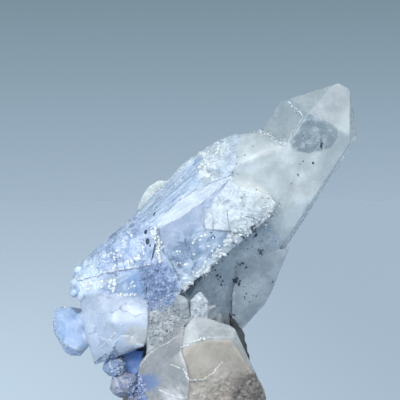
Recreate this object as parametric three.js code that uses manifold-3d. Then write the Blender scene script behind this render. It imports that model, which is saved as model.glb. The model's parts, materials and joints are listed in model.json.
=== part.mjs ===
// A dumortierite crystal: a cluster of quartz crystals, the largest coloured blue by
// dumortierite, on a foot of tan rock. It grew as one piece, so it is one solid.
// Millimetres, +Z up. The origin is the middle of the flat that it stands on.
// +X is to the right and -Y is towards the viewer, who sees the main point upper right.
import * as THREE from "three";
import { ConvexGeometry } from "three/addons/geometries/ConvexGeometry.js";
import { mergeVertices } from "three/addons/utils/BufferGeometryUtils.js";
import Module from "manifold-3d";

const wasm = await Module();
wasm.setup();

const QUARTZ_CAP_ANGLE = 38.2; // between a quartz crystal's end faces and its long axis
const CAP_CLOSING = Math.tan(THREE.MathUtils.degToRad(QUARTZ_CAP_ANGLE));
const SIDE_STEP = 60; // degrees from one side of a quartz prism to the next
const MERGE_WITHIN = 1e-4;

const FOOT_DEPTH = 12; // how far rock is cut away below the flat
const FOOT_SPAN = 80;

// A seeded generator, so that every build gives the same rock and the same crusts.
function randomFrom(seed) {
  let state = seed;
  return () => {
    state = (state * 1664525 + 1013904223) % 4294967296;
    return state / 4294967296;
  };
}

function solidFrom(geometry) {
  const bare = geometry.clone();
  bare.deleteAttribute("normal");
  bare.deleteAttribute("uv");
  const merged = mergeVertices(bare, MERGE_WITHIN);
  return new wasm.Manifold(
    new wasm.Mesh({
      numProp: 3,
      vertProperties: merged.attributes.position.array,
      triVerts: new Uint32Array(merged.index.array),
    }),
  );
}

// A broken lump or an irregular crystal: the flat-faced body that wraps its corners.
function block(corners) {
  const points = corners.map((corner) => new THREE.Vector3(...corner));
  return solidFrom(new ConvexGeometry(points));
}

// The convex body inside a list of faces, each { normal, distance } from the origin.
function bodyInside(faces) {
  const corners = [];
  const slack = 1e-6;
  for (let i = 0; i < faces.length; i++)
    for (let j = i + 1; j < faces.length; j++)
      for (let k = j + 1; k < faces.length; k++) {
        const [a, b, c] = [faces[i], faces[j], faces[k]];
        const bc = b.normal.clone().cross(c.normal);
        const spread = a.normal.dot(bc);
        if (Math.abs(spread) < slack) continue;
        const ca = c.normal.clone().cross(a.normal);
        const ab = a.normal.clone().cross(b.normal);
        const corner = bc
          .multiplyScalar(a.distance)
          .addScaledVector(ca, b.distance)
          .addScaledVector(ab, c.distance)
          .divideScalar(spread);
        if (faces.every((f) => f.normal.dot(corner) <= f.distance + slack))
          corners.push(corner);
      }
  return new ConvexGeometry(corners);
}

// A quartz prism with its six end faces.
// at: a point on its axis. lean: the axis's angle above +X. tilt: how far its tip
// comes towards the viewer. spin: turns the first side from the viewer to the right.
// sides: the distance of each side from the axis. caps: how far along the axis from
// `at` each end face starts. root: how far the body runs back from `at`.
function quartz({ at, lean, tilt, spin, sides, caps, root }) {
  const rad = THREE.MathUtils.degToRad;
  const [cl, sl] = [Math.cos(rad(lean)), Math.sin(rad(lean))];
  const [ct, st] = [Math.cos(rad(tilt)), Math.sin(rad(tilt))];
  const along = new THREE.Vector3(cl * ct, -st, sl * ct);
  const across = new THREE.Vector3(sl, 0, -cl);
  const outward = new THREE.Vector3(-cl * st, -ct, -sl * st);
  const face = (turn, distance, closing) => {
    const normal = new THREE.Vector3()
      .addScaledVector(across, Math.sin(rad(turn)))
      .addScaledVector(outward, Math.cos(rad(turn)))
      .addScaledVector(along, closing);
    const length = normal.length();
    return { normal: normal.divideScalar(length), distance: distance / length };
  };
  const faces = [{ normal: along.clone().negate(), distance: root }];
  sides.forEach((side, k) => {
    const turn = spin + k * SIDE_STEP;
    faces.push(face(turn, side, 0));
    faces.push(face(turn, side + caps[k] * CAP_CLOSING, CAP_CLOSING));
  });
  return solidFrom(bodyInside(faces).translate(...at));
}

// A small, slightly uneven quartz point that grows from `at`.
function smallPoint({ at, lean, tilt, width, length, random }) {
  const uneven = () => 0.8 + 0.4 * random();
  return quartz({
    at,
    lean,
    tilt,
    spin: SIDE_STEP * random(),
    sides: Array.from({ length: 6 }, () => (width / 2) * uneven()),
    caps: Array.from({ length: 6 }, () => length * (0.45 + 0.12 * random())),
    root: width,
  });
}

// Small points grown in a band from one place to another, `spread` wide.
function crust({ from, to, count, spread, width, lean, tilt, seed }) {
  const random = randomFrom(seed);
  const [start, end] = [new THREE.Vector3(...from), new THREE.Vector3(...to)];
  return Array.from({ length: count }, (_, i) => {
    const at = start.clone().lerp(end, (i + 0.5 * random()) / count);
    at.x += spread * (random() - 0.5);
    at.z += spread * (random() - 0.5);
    return smallPoint({
      at: at.toArray(),
      lean: lean + 70 * (random() - 0.5),
      tilt: tilt + 60 * (random() - 0.5),
      width: width * (0.7 + 0.6 * random()),
      length: width * (1.4 + random()),
      random,
    });
  });
}

// Rough broken rock: a ball with its corners pushed in and out and chips struck flat.
function rock({ at, radii, roughness, chips, fineness, seed }) {
  const random = randomFrom(seed);
  const ball = new THREE.IcosahedronGeometry(1, fineness);
  ball.deleteAttribute("normal");
  ball.deleteAttribute("uv");
  const merged = mergeVertices(ball, MERGE_WITHIN);
  const position = merged.attributes.position;
  const struck = Array.from({ length: chips }, () => ({
    normal: new THREE.Vector3(
      random() - 0.5,
      random() - 0.5,
      random() - 0.5,
    ).normalize(),
    depth: 0.72 + 0.2 * random(),
  }));
  const corner = new THREE.Vector3();
  for (let i = 0; i < position.count; i++) {
    corner.fromBufferAttribute(position, i);
    corner.multiplyScalar(1 + roughness * (random() - 0.5));
    for (const chip of struck) {
      const over = corner.dot(chip.normal) - chip.depth;
      if (over > 0) corner.addScaledVector(chip.normal, -over * 0.9);
    }
    position.setXYZ(i, corner.x, corner.y, corner.z);
  }
  return solidFrom(merged.scale(...radii).translate(...at));
}

function mainPoint() {
  return quartz({
    at: [15.9, 0, 50.1],
    lean: 57,
    tilt: 15,
    spin: 20,
    sides: [5.1, 6.5, 5.8, 5.0, 6.2, 5.9],
    caps: [7.2, 6.4, 6.1, 5.5, 5.4, 7.2],
    root: 36,
  });
}

// The broken lower right end of the main point, with a straight edge down its front.
function brokenHeel() {
  return block([
    [14.4, 0.8, 34.5],
    [13, 1.6, 32.1],
    [11.7, 3, 27.7],
    [10.5, 3.6, 25.3],
    [8.5, 3.8, 24],
    [7.6, 3.9, 23],
    [6.8, 4, 21.2],
    [5.2, 3, 21.6],
    [5.2, 1.6, 26.9],
    [6.4, 0.4, 32.1],
    [9.3, 0.5, 33],
    [14.1, 6, 33.9],
    [12.8, 8, 31],
    [11, 9, 26.6],
    [7.3, 9, 22.5],
    [5.7, 9, 20.1],
    [4.1, 10, 25.7],
  ]);
}

function blueCrystal() {
  return block([
    [-10.1, 0.4, 40.1],
    [-5.1, 0.8, 45.1],
    [-2.7, 0.8, 47.8],
    [-0.5, 0.6, 48.6],
    [2.7, 0.4, 51.4],
    [-7, -5.4, 39.8],
    [-2.5, -5.5, 43],
    [5.2, -5.1, 46.3],
    [-7.3, -6.6, 37.6],
    [-3.6, -6.7, 39],
    [0.3, -6.3, 41.7],
    [12.1, -5, 41.5],
    [10.8, -5.3, 39],
    [6.3, -5.8, 36.6],
    [1.7, -6.1, 31.7],
    [-2.7, -6.2, 27.7],
    [-7.9, -6.4, 27.4],
    [-8.1, 6, 40.9],
    [4, 6, 51.4],
    [11.6, 3.5, 41.2],
    [6.4, 4.5, 35.6],
    [-2.7, 5, 27.8],
    [-8.1, 6.5, 30.7],
  ]);
}

// The silvery fractured ledge, slightly proud of the blue crystal's front.
function silverLedge() {
  return block([
    [2.2, -5.5, 43.9],
    [5.1, -5, 45.5],
    [9.8, -5.5, 42.5],
    [11.9, -5.2, 41.5],
    [10.6, -5.7, 39],
    [6.3, -6.2, 36.9],
    [3.5, -6.6, 37.3],
    [0.8, -6.5, 37.4],
    [0.5, -6.3, 40.9],
    [6, -6.5, 41.2],
    [9.2, -6.1, 40.3],
    [6.4, -3, 42],
    [2.4, -3, 38.8],
  ]);
}

// The blunt lower left end of the blue crystal, with one long ridge across its front.
function bluntEnd() {
  return block([
    [-10.1, 0.4, 39.9],
    [-12.8, 0.2, 37.5],
    [-16.3, 0, 34.2],
    [-17.6, -0.3, 33.1],
    [-19.7, -0.6, 31.5],
    [-20.3, -1, 29.7],
    [-20.8, -1.6, 27.6],
    [-19.9, -4.3, 29],
    [-7.9, -8.6, 31.4],
    [-6.8, -7, 37.6],
    [-7, -5.6, 39.6],
    [-14, -4.4, 34.7],
    [-19.4, -3.2, 26.6],
    [-18.1, -5.2, 26.3],
    [-8.7, -7.1, 26],
    [-9.7, 8, 37.9],
    [-17, 7, 32],
    [-19.4, 6, 27.5],
    [-8.1, 8, 25.8],
  ]);
}

function milkyCompanion() {
  return block([
    [6.4, -2.5, 52.9],
    [9.9, -4.2, 52.9],
    [11.7, -5.2, 51.8],
    [13.6, -6.3, 50.5],
    [15.4, -5.8, 49.8],
    [15.9, -4.6, 47.6],
    [14.6, -3.5, 44.4],
    [12.4, -2.5, 41.4],
    [5.2, -5.6, 46],
    [7.6, -6.3, 48.3],
    [3.8, -4.2, 48.7],
    [0.8, -3.6, 47.1],
    [2.7, 0.6, 51.4],
    [-0.5, 0.9, 48.6],
    [4.6, 0.2, 52.2],
    [5.7, 6, 51.7],
    [10, 5.5, 52.3],
    [13.7, 6, 48.5],
    [8.1, 8, 42],
    [2.4, 6, 46],
  ]);
}

function darkBlueRoot() {
  return block([
    [-6.8, -8.3, 34.7],
    [-4.7, -7.6, 32.2],
    [-2.7, -6.6, 27.9],
    [-4.4, -6.8, 25.4],
    [-6.3, -7.2, 24],
    [-8.1, -6.6, 23.6],
    [-8.5, -7.8, 26.2],
    [-8, -8.9, 31.3],
    [-5.6, 4, 29.1],
    [-8.1, 4, 25.9],
  ]);
}

function milkyEnd() {
  return block([
    [-18.5, -3.4, 27.5],
    [-19.1, -4, 26.1],
    [-16.5, -5.6, 26.8],
    [-12.7, -6.6, 27.1],
    [-8.6, -6, 27.7],
    [-8.2, -7.8, 24.6],
    [-8.2, -8.1, 21.3],
    [-8.1, -7.6, 19.4],
    [-11.4, -7, 18.8],
    [-13.3, -6.6, 18.1],
    [-16.8, -4.8, 15.8],
    [-17.2, -5.6, 17.6],
    [-18.4, -5.7, 22],
    [-18.9, -5, 24.2],
    [-13.6, -8.4, 22.4],
    [-13.7, -7.6, 18.6],
    [-10.4, -8.5, 22.3],
    [-18, 3, 25.9],
    [-8.4, 4, 25.9],
    [-8.4, 3, 18.5],
    [-16, 1.5, 16.3],
  ]);
}

function blueKnob() {
  return block([
    [-23.2, -2.4, 24.7],
    [-21.7, -1.6, 25],
    [-20.7, -2.6, 25],
    [-19.1, -4.2, 23.3],
    [-18.2, -5, 19.6],
    [-18.4, -4.4, 17.9],
    [-19.7, -6, 18.3],
    [-21.4, -6.4, 19.3],
    [-23.2, -4.6, 21],
    [-23.4, -3.6, 22.3],
    [-22.3, -2.5, 19.2],
    [-21.6, -2.2, 17.8],
    [-20.7, -2.4, 17.2],
    [-19, -2.8, 17.2],
    [-21.2, -6.3, 22.2],
    [-22.8, 3, 24],
    [-23.2, 3, 21.1],
    [-20.9, 3, 17.9],
    [-17.7, 2, 24.3],
    [-17.7, 2, 18.7],
  ]);
}

function bumpBehind() {
  return block([
    [-5.1, 3, 45.1],
    [-6.7, 2.6, 45.1],
    [-8.3, 2, 44.1],
    [-9.3, 2, 42.6],
    [-9.8, 2.5, 41.5],
    [-10.1, 3, 39.9],
    [-6.3, 6.5, 44.6],
    [-8.7, 6.8, 43.1],
    [-9.5, 6, 40.4],
    [-4, 4, 42],
    [-6.4, 3, 38],
  ]);
}

function twinPoints() {
  const left = quartz({
    at: [-2.8, -7.6, 25],
    lean: 101,
    tilt: 14,
    spin: 15,
    sides: [0.95, 1.15, 1, 0.95, 1.15, 1],
    caps: [1.1, 1.2, 1, 1, 1.1, 1.1],
    root: 3,
  });
  const right = quartz({
    at: [-0.1, -7.8, 25.5],
    lean: 89,
    tilt: 12,
    spin: 25,
    sides: [1.1, 1.35, 1.2, 1.1, 1.35, 1.2],
    caps: [0.7, 0.6, 0.7, 0.6, 0.6, 0.8],
    root: 3,
  });
  return [left, right];
}

function cappedCrystal() {
  return block([
    [-0.4, -8.4, 23.8],
    [4.6, -8, 22.3],
    [5.5, -8.6, 21.7],
    [5.6, -10, 20],
    [4.9, -11.4, 19.9],
    [1.4, -13, 20],
    [-0.4, -13.5, 19.6],
    [-2.2, -13.8, 19.3],
    [-2.8, -14, 18.6],
    [-3.9, -11, 20],
    [-1.6, -9, 23.1],
    [-3, -14.6, 16.9],
    [6.8, -9.6, 16.8],
    [8.4, -8.6, 14.2],
    [10.3, -7.6, 11.5],
    [5.1, 2, 21.1],
    [6.4, 3, 17.9],
    [-4, 0, 19.6],
    [-2.4, -14.6, 6],
    [10.4, -7.2, 8],
    [8.6, 5, 6],
    [-2.4, -13.4, -1],
    [8.6, -7, -1],
    [7, 4, -1],
    [-7, 2, -1],
    [-8, 4, 10],
  ]);
}

function paleNeighbour() {
  return block([
    [-2.5, -8.8, 23.4],
    [-5.7, -9.8, 20],
    [-8.3, -9.8, 17.8],
    [-9.6, -9.8, 16.3],
    [-9.8, -10, 14.9],
    [-9.7, -10.4, 13.1],
    [-3.9, -12, 19.9],
    [-3, -14.4, 18.6],
    [-2.2, -15, 16.3],
    [-1.7, -15.2, 13.9],
    [-7.8, -12.4, 15],
    [-4.7, -14, 17],
    [-1.9, -14.8, 6],
    [-9.6, -10.2, 5],
    [-3, -13.2, -1],
    [-8.6, -9.4, -1],
    [-3, 0, 17],
    [-9, 0, 16],
    [-3, 0, -1],
    [-9, 0, -1],
  ]);
}

function darkSliver() {
  return block([
    [5.7, -2, 21],
    [6.8, 1, 21.3],
    [7.2, 2, 19],
    [7.2, 2, 16.6],
    [7.5, 1.6, 15.7],
    [8.3, 1.4, 15.2],
    [8.4, 1.6, 13.8],
    [6.4, -4, 14.7],
    [5.9, -5, 18.2],
    [5.8, 8, 20.9],
    [8.1, 8, 14.1],
    [4.5, 4, 24],
  ]);
}

function bluePocket() {
  return block([
    [-13.3, -1, 17.7],
    [-11.5, -1, 18.4],
    [-8.9, -1.5, 17.9],
    [-9.9, -2, 16],
    [-10, -2, 13.9],
    [-11.8, -2, 14.1],
    [-13.1, -1.5, 16.3],
    [-13.3, 7, 17.4],
    [-8.9, 8, 17.7],
    [-9.2, 8, 12.8],
    [-12.6, 6, 13.2],
  ]);
}

function greyLump() {
  return rock({
    at: [-13.6, -3.6, 15.4],
    radii: [1.8, 2.6, 1.6],
    roughness: 0.16,
    chips: 7,
    fineness: 2,
    seed: 11,
  });
}

function pinkishLump() {
  return rock({
    at: [-12, -4, 12.6],
    radii: [2.3, 3.4, 2.2],
    roughness: 0.14,
    chips: 8,
    fineness: 2,
    seed: 21,
  });
}

function granularSeam() {
  return block([
    [-8.2, -7.2, 24.3],
    [-5.5, -7.2, 25.4],
    [-2.2, -7.6, 24.1],
    [-0.6, -6.6, 24.6],
    [2.4, -5, 25.2],
    [-7.9, -8.2, 19.4],
    [-8.4, -8.6, 17.7],
    [-5.5, -9.6, 19.8],
    [-1.9, -8.6, 22.9],
    [-8.1, 4, 23.5],
    [4, 4, 22.7],
    [4, 5, 16.2],
    [-8.1, 4, 16.2],
  ]);
}

// Crystals that the photograph doesn't show, which finish the back of the cluster.
function backCrystals() {
  const upper = quartz({
    at: [-6.5, 9, 30],
    lean: 122,
    tilt: -36,
    spin: 5,
    sides: [3.6, 3.1, 3.4, 3.8, 3.2, 3.5],
    caps: [3.4, 2.8, 3.1, 3.6, 3, 3.2],
    root: 12,
  });
  const lower = quartz({
    at: [3.4, 11, 16.8],
    lean: 64,
    tilt: -42,
    spin: 24,
    sides: [3, 2.6, 3.1, 2.8, 3.2, 2.7],
    caps: [3.2, 2.5, 2.9, 3.4, 2.8, 3],
    root: 11,
  });
  const small = quartz({
    at: [-3.5, 13.4, 15],
    lean: 98,
    tilt: -55,
    spin: 12,
    sides: [2.3, 2, 2.2, 2.4, 2.1, 2.2],
    caps: [1.8, 1.2, 1.6, 2, 1.5, 1.7],
    root: 9,
  });
  const side = quartz({
    at: [-12, 5.5, 20],
    lean: 150,
    tilt: -30,
    spin: 30,
    sides: [2.6, 2.2, 2.5, 2.7, 2.3, 2.4],
    caps: [1.9, 1.4, 1.7, 2.1, 1.5, 1.8],
    root: 10,
  });
  const low = quartz({
    at: [-9.5, 10, 9.5],
    lean: 160,
    tilt: -50,
    spin: 8,
    sides: [2, 1.8, 2.1, 1.9, 2.2, 1.9],
    caps: [1.5, 1, 1.4, 1.6, 1.2, 1.3],
    root: 8,
  });
  return [upper, lower, small, side, low];
}

function footRock() {
  const middle = rock({
    at: [-0.9, -0.8, 4.8],
    radii: [13, 13, 12.6],
    roughness: 0.07,
    chips: 18,
    fineness: 5,
    seed: 5,
  });
  const front = rock({
    at: [2, -6.6, 1.5],
    radii: [10, 9.6, 8.5],
    roughness: 0.09,
    chips: 14,
    fineness: 4,
    seed: 31,
  });
  const behind = rock({
    at: [-1.5, 8.2, 17.5],
    radii: [8.2, 6.4, 8],
    roughness: 0.1,
    chips: 14,
    fineness: 4,
    seed: 41,
  });
  return [middle, front, behind];
}

function crusts() {
  const upperSeam = crust({
    from: [6.2, -5.2, 36.9],
    to: [11.6, -4.4, 40.6],
    count: 12,
    spread: 0.7,
    width: 0.9,
    lean: -45,
    tilt: 40,
    seed: 3,
  });
  const lowerSeam = crust({
    from: [-2.3, -5.6, 28.2],
    to: [6.2, -5.2, 36.4],
    count: 18,
    spread: 0.8,
    width: 0.9,
    lean: -45,
    tilt: 40,
    seed: 17,
  });
  const underPocket = crust({
    from: [-11, -6.2, 12.6],
    to: [-9.4, -9.4, 9.5],
    count: 12,
    spread: 1.6,
    width: 1.2,
    lean: 190,
    tilt: 40,
    seed: 7,
  });
  const darkBlue = crust({
    from: [-6.4, -7, 30.5],
    to: [-5.2, -6.2, 25.4],
    count: 14,
    spread: 2,
    width: 0.9,
    lean: 250,
    tilt: 55,
    seed: 9,
  });
  return [...upperSeam, ...lowerSeam, ...underPocket, ...darkBlue];
}

// The rock inside, which all the crystals grew from, so that no gap is left between them.
function heart() {
  return block([
    [-7, -5, 6],
    [5, -5, 6],
    [-7, 7, 6],
    [5, 7, 6],
    [-6, -5, 20],
    [4, -5, 20],
    [-6, 7, 23],
    [3, 7, 23],
  ]);
}

// All below the flat that the cluster stands on.
function belowFoot() {
  const slab = new THREE.BoxGeometry(FOOT_SPAN, FOOT_SPAN, FOOT_DEPTH);
  return solidFrom(slab.translate(0, 0, -FOOT_DEPTH / 2));
}

function clusterSolid() {
  const grown = [
    heart(),
    mainPoint(),
    brokenHeel(),
    blueCrystal(),
    silverLedge(),
    bluntEnd(),
    milkyCompanion(),
    darkBlueRoot(),
    milkyEnd(),
    blueKnob(),
    bumpBehind(),
    ...twinPoints(),
    cappedCrystal(),
    paleNeighbour(),
    darkSliver(),
    bluePocket(),
    greyLump(),
    pinkishLump(),
    granularSeam(),
    ...backCrystals(),
    ...footRock(),
    ...crusts(),
  ];
  return grown.reduce((whole, piece) => whole.add(piece)).subtract(belowFoot());
}

function geometryOf(solid) {
  const mesh = solid.getMesh();
  const corners = new Float32Array(mesh.numVert * 3);
  for (let i = 0; i < mesh.numVert; i++)
    corners.set(
      mesh.vertProperties.subarray(i * mesh.numProp, i * mesh.numProp + 3),
      i * 3,
    );
  const geometry = new THREE.BufferGeometry();
  geometry.setAttribute("position", new THREE.BufferAttribute(corners, 3));
  geometry.setIndex(new THREE.BufferAttribute(new Uint32Array(mesh.triVerts), 1));
  geometry.computeVertexNormals();
  return geometry;
}

const quartzMaterial = new THREE.MeshStandardMaterial({
  color: new THREE.Color(0.74, 0.81, 0.88),
  roughness: 0.25,
  metalness: 0,
});

const cluster = new THREE.Mesh(geometryOf(clusterSolid()), quartzMaterial);
cluster.name = "quartz_cluster";

const part = new THREE.Group();
part.add(cluster);

export default part;
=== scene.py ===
# Dumortierite crystal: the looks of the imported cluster.
# Lengths in the dictionaries are millimetres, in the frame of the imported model.
import json
import math
import random

import bmesh
import bpy
from mathutils import Matrix, Vector, noise
from mathutils.bvhtree import BVHTree

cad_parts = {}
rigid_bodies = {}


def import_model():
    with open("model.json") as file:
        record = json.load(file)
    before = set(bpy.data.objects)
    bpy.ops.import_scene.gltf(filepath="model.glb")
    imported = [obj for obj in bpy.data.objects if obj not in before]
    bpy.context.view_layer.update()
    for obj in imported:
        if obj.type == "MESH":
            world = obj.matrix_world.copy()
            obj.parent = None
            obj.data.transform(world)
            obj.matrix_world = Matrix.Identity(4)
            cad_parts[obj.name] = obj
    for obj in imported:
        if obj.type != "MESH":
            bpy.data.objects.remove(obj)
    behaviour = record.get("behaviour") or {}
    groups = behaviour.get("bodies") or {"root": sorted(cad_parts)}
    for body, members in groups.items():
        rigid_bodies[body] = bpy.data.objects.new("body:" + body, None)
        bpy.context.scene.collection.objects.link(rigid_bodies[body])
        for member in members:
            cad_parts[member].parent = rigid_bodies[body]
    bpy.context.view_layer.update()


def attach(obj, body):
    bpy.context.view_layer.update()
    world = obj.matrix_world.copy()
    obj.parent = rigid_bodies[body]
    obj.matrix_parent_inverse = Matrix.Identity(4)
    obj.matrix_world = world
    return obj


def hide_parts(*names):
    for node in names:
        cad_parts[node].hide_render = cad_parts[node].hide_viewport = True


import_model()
scene = bpy.context.scene
mm = 0.001
print("stage: frame loaded")


# Shader arithmetic: a wire is one output socket, and an expression on wires adds Math nodes.
class Wire:
    def __init__(self, tree, socket):
        self.tree = tree
        self.socket = socket

    def math(self, operation, first, second=0.0, clamp=False):
        node = self.tree.nodes.new("ShaderNodeMath")
        node.operation = operation
        node.use_clamp = clamp
        plug(self.tree, node.inputs[0], first)
        plug(self.tree, node.inputs[1], second)
        return Wire(self.tree, node.outputs[0])

    def __add__(self, other):
        return self.math("ADD", self, other)

    def __radd__(self, other):
        return self.math("ADD", other, self)

    def __sub__(self, other):
        return self.math("SUBTRACT", self, other)

    def __rsub__(self, other):
        return self.math("SUBTRACT", other, self)

    def __mul__(self, other):
        return self.math("MULTIPLY", self, other)

    def __rmul__(self, other):
        return self.math("MULTIPLY", other, self)

    def clamped(self):
        return self.math("ADD", self, 0.0, clamp=True)

    def atLeast(self, other):
        return self.math("MAXIMUM", self, other)

    def atMost(self, other):
        return self.math("MINIMUM", self, other)


def plug(tree, socket, value):
    if isinstance(value, Wire):
        tree.links.new(value.socket, socket)
    elif isinstance(value, tuple) and len(value) == 3 and socket.type == "RGBA":
        socket.default_value = (*value, 1.0)
    else:
        socket.default_value = value


class Graph:
    def __init__(self, tree):
        self.tree = tree
        tree.nodes.clear()

    def make(self, kind, settings=None, inputs=None, output=0):
        node = self.tree.nodes.new(kind)
        for name, value in (settings or {}).items():
            setattr(node, name, value)
        for name, value in (inputs or {}).items():
            plug(self.tree, node.inputs[name], value)
        return Wire(self.tree, node.outputs[output]) if node.outputs else None

    def vector(self, operation, first, second=(0.0, 0.0, 0.0)):
        settings = {"operation": operation}
        return self.make("ShaderNodeVectorMath", settings, {0: first, 1: second})

    def inMillimetres(self):
        place = self.make("ShaderNodeTexCoord", output="Object")
        return self.vector("MULTIPLY", place, (1000.0, 1000.0, 1000.0))

    def noise(self, place, size, detail=3.0, roughness=0.55, output="Fac"):
        inputs = {"Vector": place, "Scale": 1.0 / size, "Detail": detail, "Roughness": roughness}
        return self.make("ShaderNodeTexNoise", None, inputs, output)

    def warped(self, place, size, amount):
        shift = self.noise(place, size, 2.0, 0.5, "Color")
        centred = self.vector("SUBTRACT", shift, (0.5, 0.5, 0.5))
        moved = self.vector("MULTIPLY", centred, (amount, amount, amount))
        return self.vector("ADD", place, moved)

    def smooth(self, value, low, high, toLow=0.0, toHigh=1.0):
        inputs = {"Value": value, "From Min": low, "From Max": high, "To Min": toLow, "To Max": toHigh}
        return self.make("ShaderNodeMapRange", {"interpolation_type": "SMOOTHSTEP"}, inputs)

    # A soft-edged ellipsoid: 1 in its middle, 0 outside.
    def blob(self, place, centre, radii, soft=0.6):
        offset = self.vector("SUBTRACT", place, tuple(centre))
        scaled = self.vector("DIVIDE", offset, tuple(radii))
        settings = {"operation": "LENGTH"}
        length = self.make("ShaderNodeVectorMath", settings, {0: scaled}, "Value")
        return self.smooth(length, 1.0 - soft, 1.0 + soft, 1.0, 0.0)

    def mix(self, factor, first, second):
        settings = {"data_type": "RGBA"}
        return self.make("ShaderNodeMix", settings, {0: factor, 6: first, 7: second}, 2)

    # Grains scattered about `spacing` apart, of which a share is kept.
    def grains(self, place, spacing, size, share):
        distance, colour, _ = self.cells(place, spacing)
        chance = self.make("ShaderNodeSeparateColor", None, {"Color": colour}, "Red")
        near = self.smooth(distance, size / spacing * 0.6, size / spacing, 1.0, 0.0)
        return near * self.smooth(chance, share, share + 0.02, 1.0, 0.0)

    # Random cells: the distance to the nearest middle, the cell's own random colour and its middle.
    def cells(self, place, spacing, feature="F1"):
        inputs = {"Vector": place, "Scale": 1.0 / spacing}
        distance = self.make("ShaderNodeTexVoronoi", {"feature": feature}, inputs, "Distance")
        if feature == "DISTANCE_TO_EDGE":
            return distance
        outputs = distance.socket.node.outputs
        return distance, Wire(self.tree, outputs["Color"]), Wire(self.tree, outputs["Position"])

    def dot(self, first, second):
        settings = {"operation": "DOT_PRODUCT"}
        return self.make("ShaderNodeVectorMath", settings, {0: first, 1: second}, "Value")

    # Chips of stone, each tilted its own way: a height in millimetres and a random level.
    def chips(self, place, spacing):
        _, colour, middle = self.cells(place, spacing)
        tilt = self.vector("SUBTRACT", colour, (0.5, 0.5, 0.5))
        height = self.dot(self.vector("SUBTRACT", place, middle), tilt)
        level = self.make("ShaderNodeSeparateColor", None, {"Color": colour}, "Green")
        return height, level

    # Thin lines along the borders of random cells.
    def cracks(self, place, spacing, width):
        border = self.cells(place, spacing, "DISTANCE_TO_EDGE")
        return self.smooth(border, width / spacing * 0.3, width / spacing, 1.0, 0.0)

    # Long grain at an angle above +X, seen from the front.
    def streaks(self, place, angle, size, stretch):
        rotation = (0.0, math.radians(angle), 0.0)
        turned = self.make("ShaderNodeMapping", None, {"Vector": place, "Rotation": rotation})
        drawn = self.vector("MULTIPLY", turned, (1.0 / stretch, 1.0, 1.0))
        return self.noise(drawn, size, 4.0, 0.6)

    # Inside a convex outline given as (x, z) corners, going round clockwise as seen from the front.
    def outline(self, place, corners, soft, farY, nearY=-20.0):
        depth = self.dot(place, (0.0, 1.0, 0.0))
        total = (farY - depth).atMost(depth - nearY)
        for (x0, z0), (x1, z1) in zip(corners, corners[1:] + corners[:1]):
            long = math.hypot(x1 - x0, z1 - z0)
            inward = ((z1 - z0) / long, 0.0, -(x1 - x0) / long)
            total = total.atMost(self.dot(place, inward) - (x0 * inward[0] + z0 * inward[2]))
        return self.smooth(total, -soft, soft)

    def bump(self, height, distance, strength=1.0):
        inputs = {"Height": height, "Distance": distance * mm, "Strength": strength}
        return self.make("ShaderNodeBump", None, inputs, "Normal")


def newMaterial(name):
    material = bpy.data.materials.new(name)
    material.use_nodes = True
    return material, Graph(material.node_tree)


# Modelling tools. A crystal is a convex body, cut by planes or wrapped round its corners.
def hullFrom(corners):
    mesh = bmesh.new()
    for corner in corners:
        mesh.verts.new(Vector(corner) * mm)
    hull = bmesh.ops.convex_hull(mesh, input=mesh.verts[:])
    spare = [item for item in hull["geom_interior"] if isinstance(item, bmesh.types.BMVert)]
    bmesh.ops.delete(mesh, geom=spare, context="VERTS")
    return mesh


quartzShape = {"sideStep": 60.0, "capAngle": 38.2, "roughSize": 160.0}


def axesOf(spec):
    lean, tilt = math.radians(spec["lean"]), math.radians(spec["tilt"])
    along = Vector((math.cos(lean) * math.cos(tilt), -math.sin(tilt), math.sin(lean) * math.cos(tilt)))
    across = Vector((math.sin(lean), 0.0, -math.cos(lean)))
    outward = Vector((-math.cos(lean) * math.sin(tilt), -math.cos(tilt), -math.sin(lean) * math.sin(tilt)))
    return along, across, outward


# A quartz prism with six end faces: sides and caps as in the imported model.
def prismFrom(spec):
    along, across, outward = axesOf(spec)
    closing = math.tan(math.radians(quartzShape["capAngle"]))
    middle = Vector(spec["at"])
    mesh = bmesh.new()
    bmesh.ops.create_cube(mesh, size=quartzShape["roughSize"] * mm)
    bmesh.ops.translate(mesh, vec=middle * mm, verts=mesh.verts[:])
    cuts = [(-along, spec["root"])]
    for step, side in enumerate(spec["sides"]):
        turn = math.radians(spec["spin"] + step * quartzShape["sideStep"])
        flat = across * math.sin(turn) + outward * math.cos(turn)
        steep = flat + along * closing
        cuts.append((flat, side))
        cuts.append((steep.normalized(), (side + spec["caps"][step] * closing) / steep.length))
    for normal, distance in cuts:
        everything = mesh.verts[:] + mesh.edges[:] + mesh.faces[:]
        co = (middle + normal * distance) * mm
        cut = bmesh.ops.bisect_plane(mesh, geom=everything, plane_co=co, plane_no=normal, clear_outer=True)
        rim = [item for item in cut["geom_cut"] if isinstance(item, bmesh.types.BMEdge)]
        if rim:
            bmesh.ops.edgeloop_fill(mesh, edges=rim)
    bmesh.ops.recalc_face_normals(mesh, faces=mesh.faces[:])
    return mesh


def objectFrom(name, mesh):
    data = bpy.data.meshes.new(name)
    mesh.to_mesh(data)
    mesh.free()
    made = bpy.data.objects.new(name, data)
    scene.collection.objects.link(made)
    return made


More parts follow.
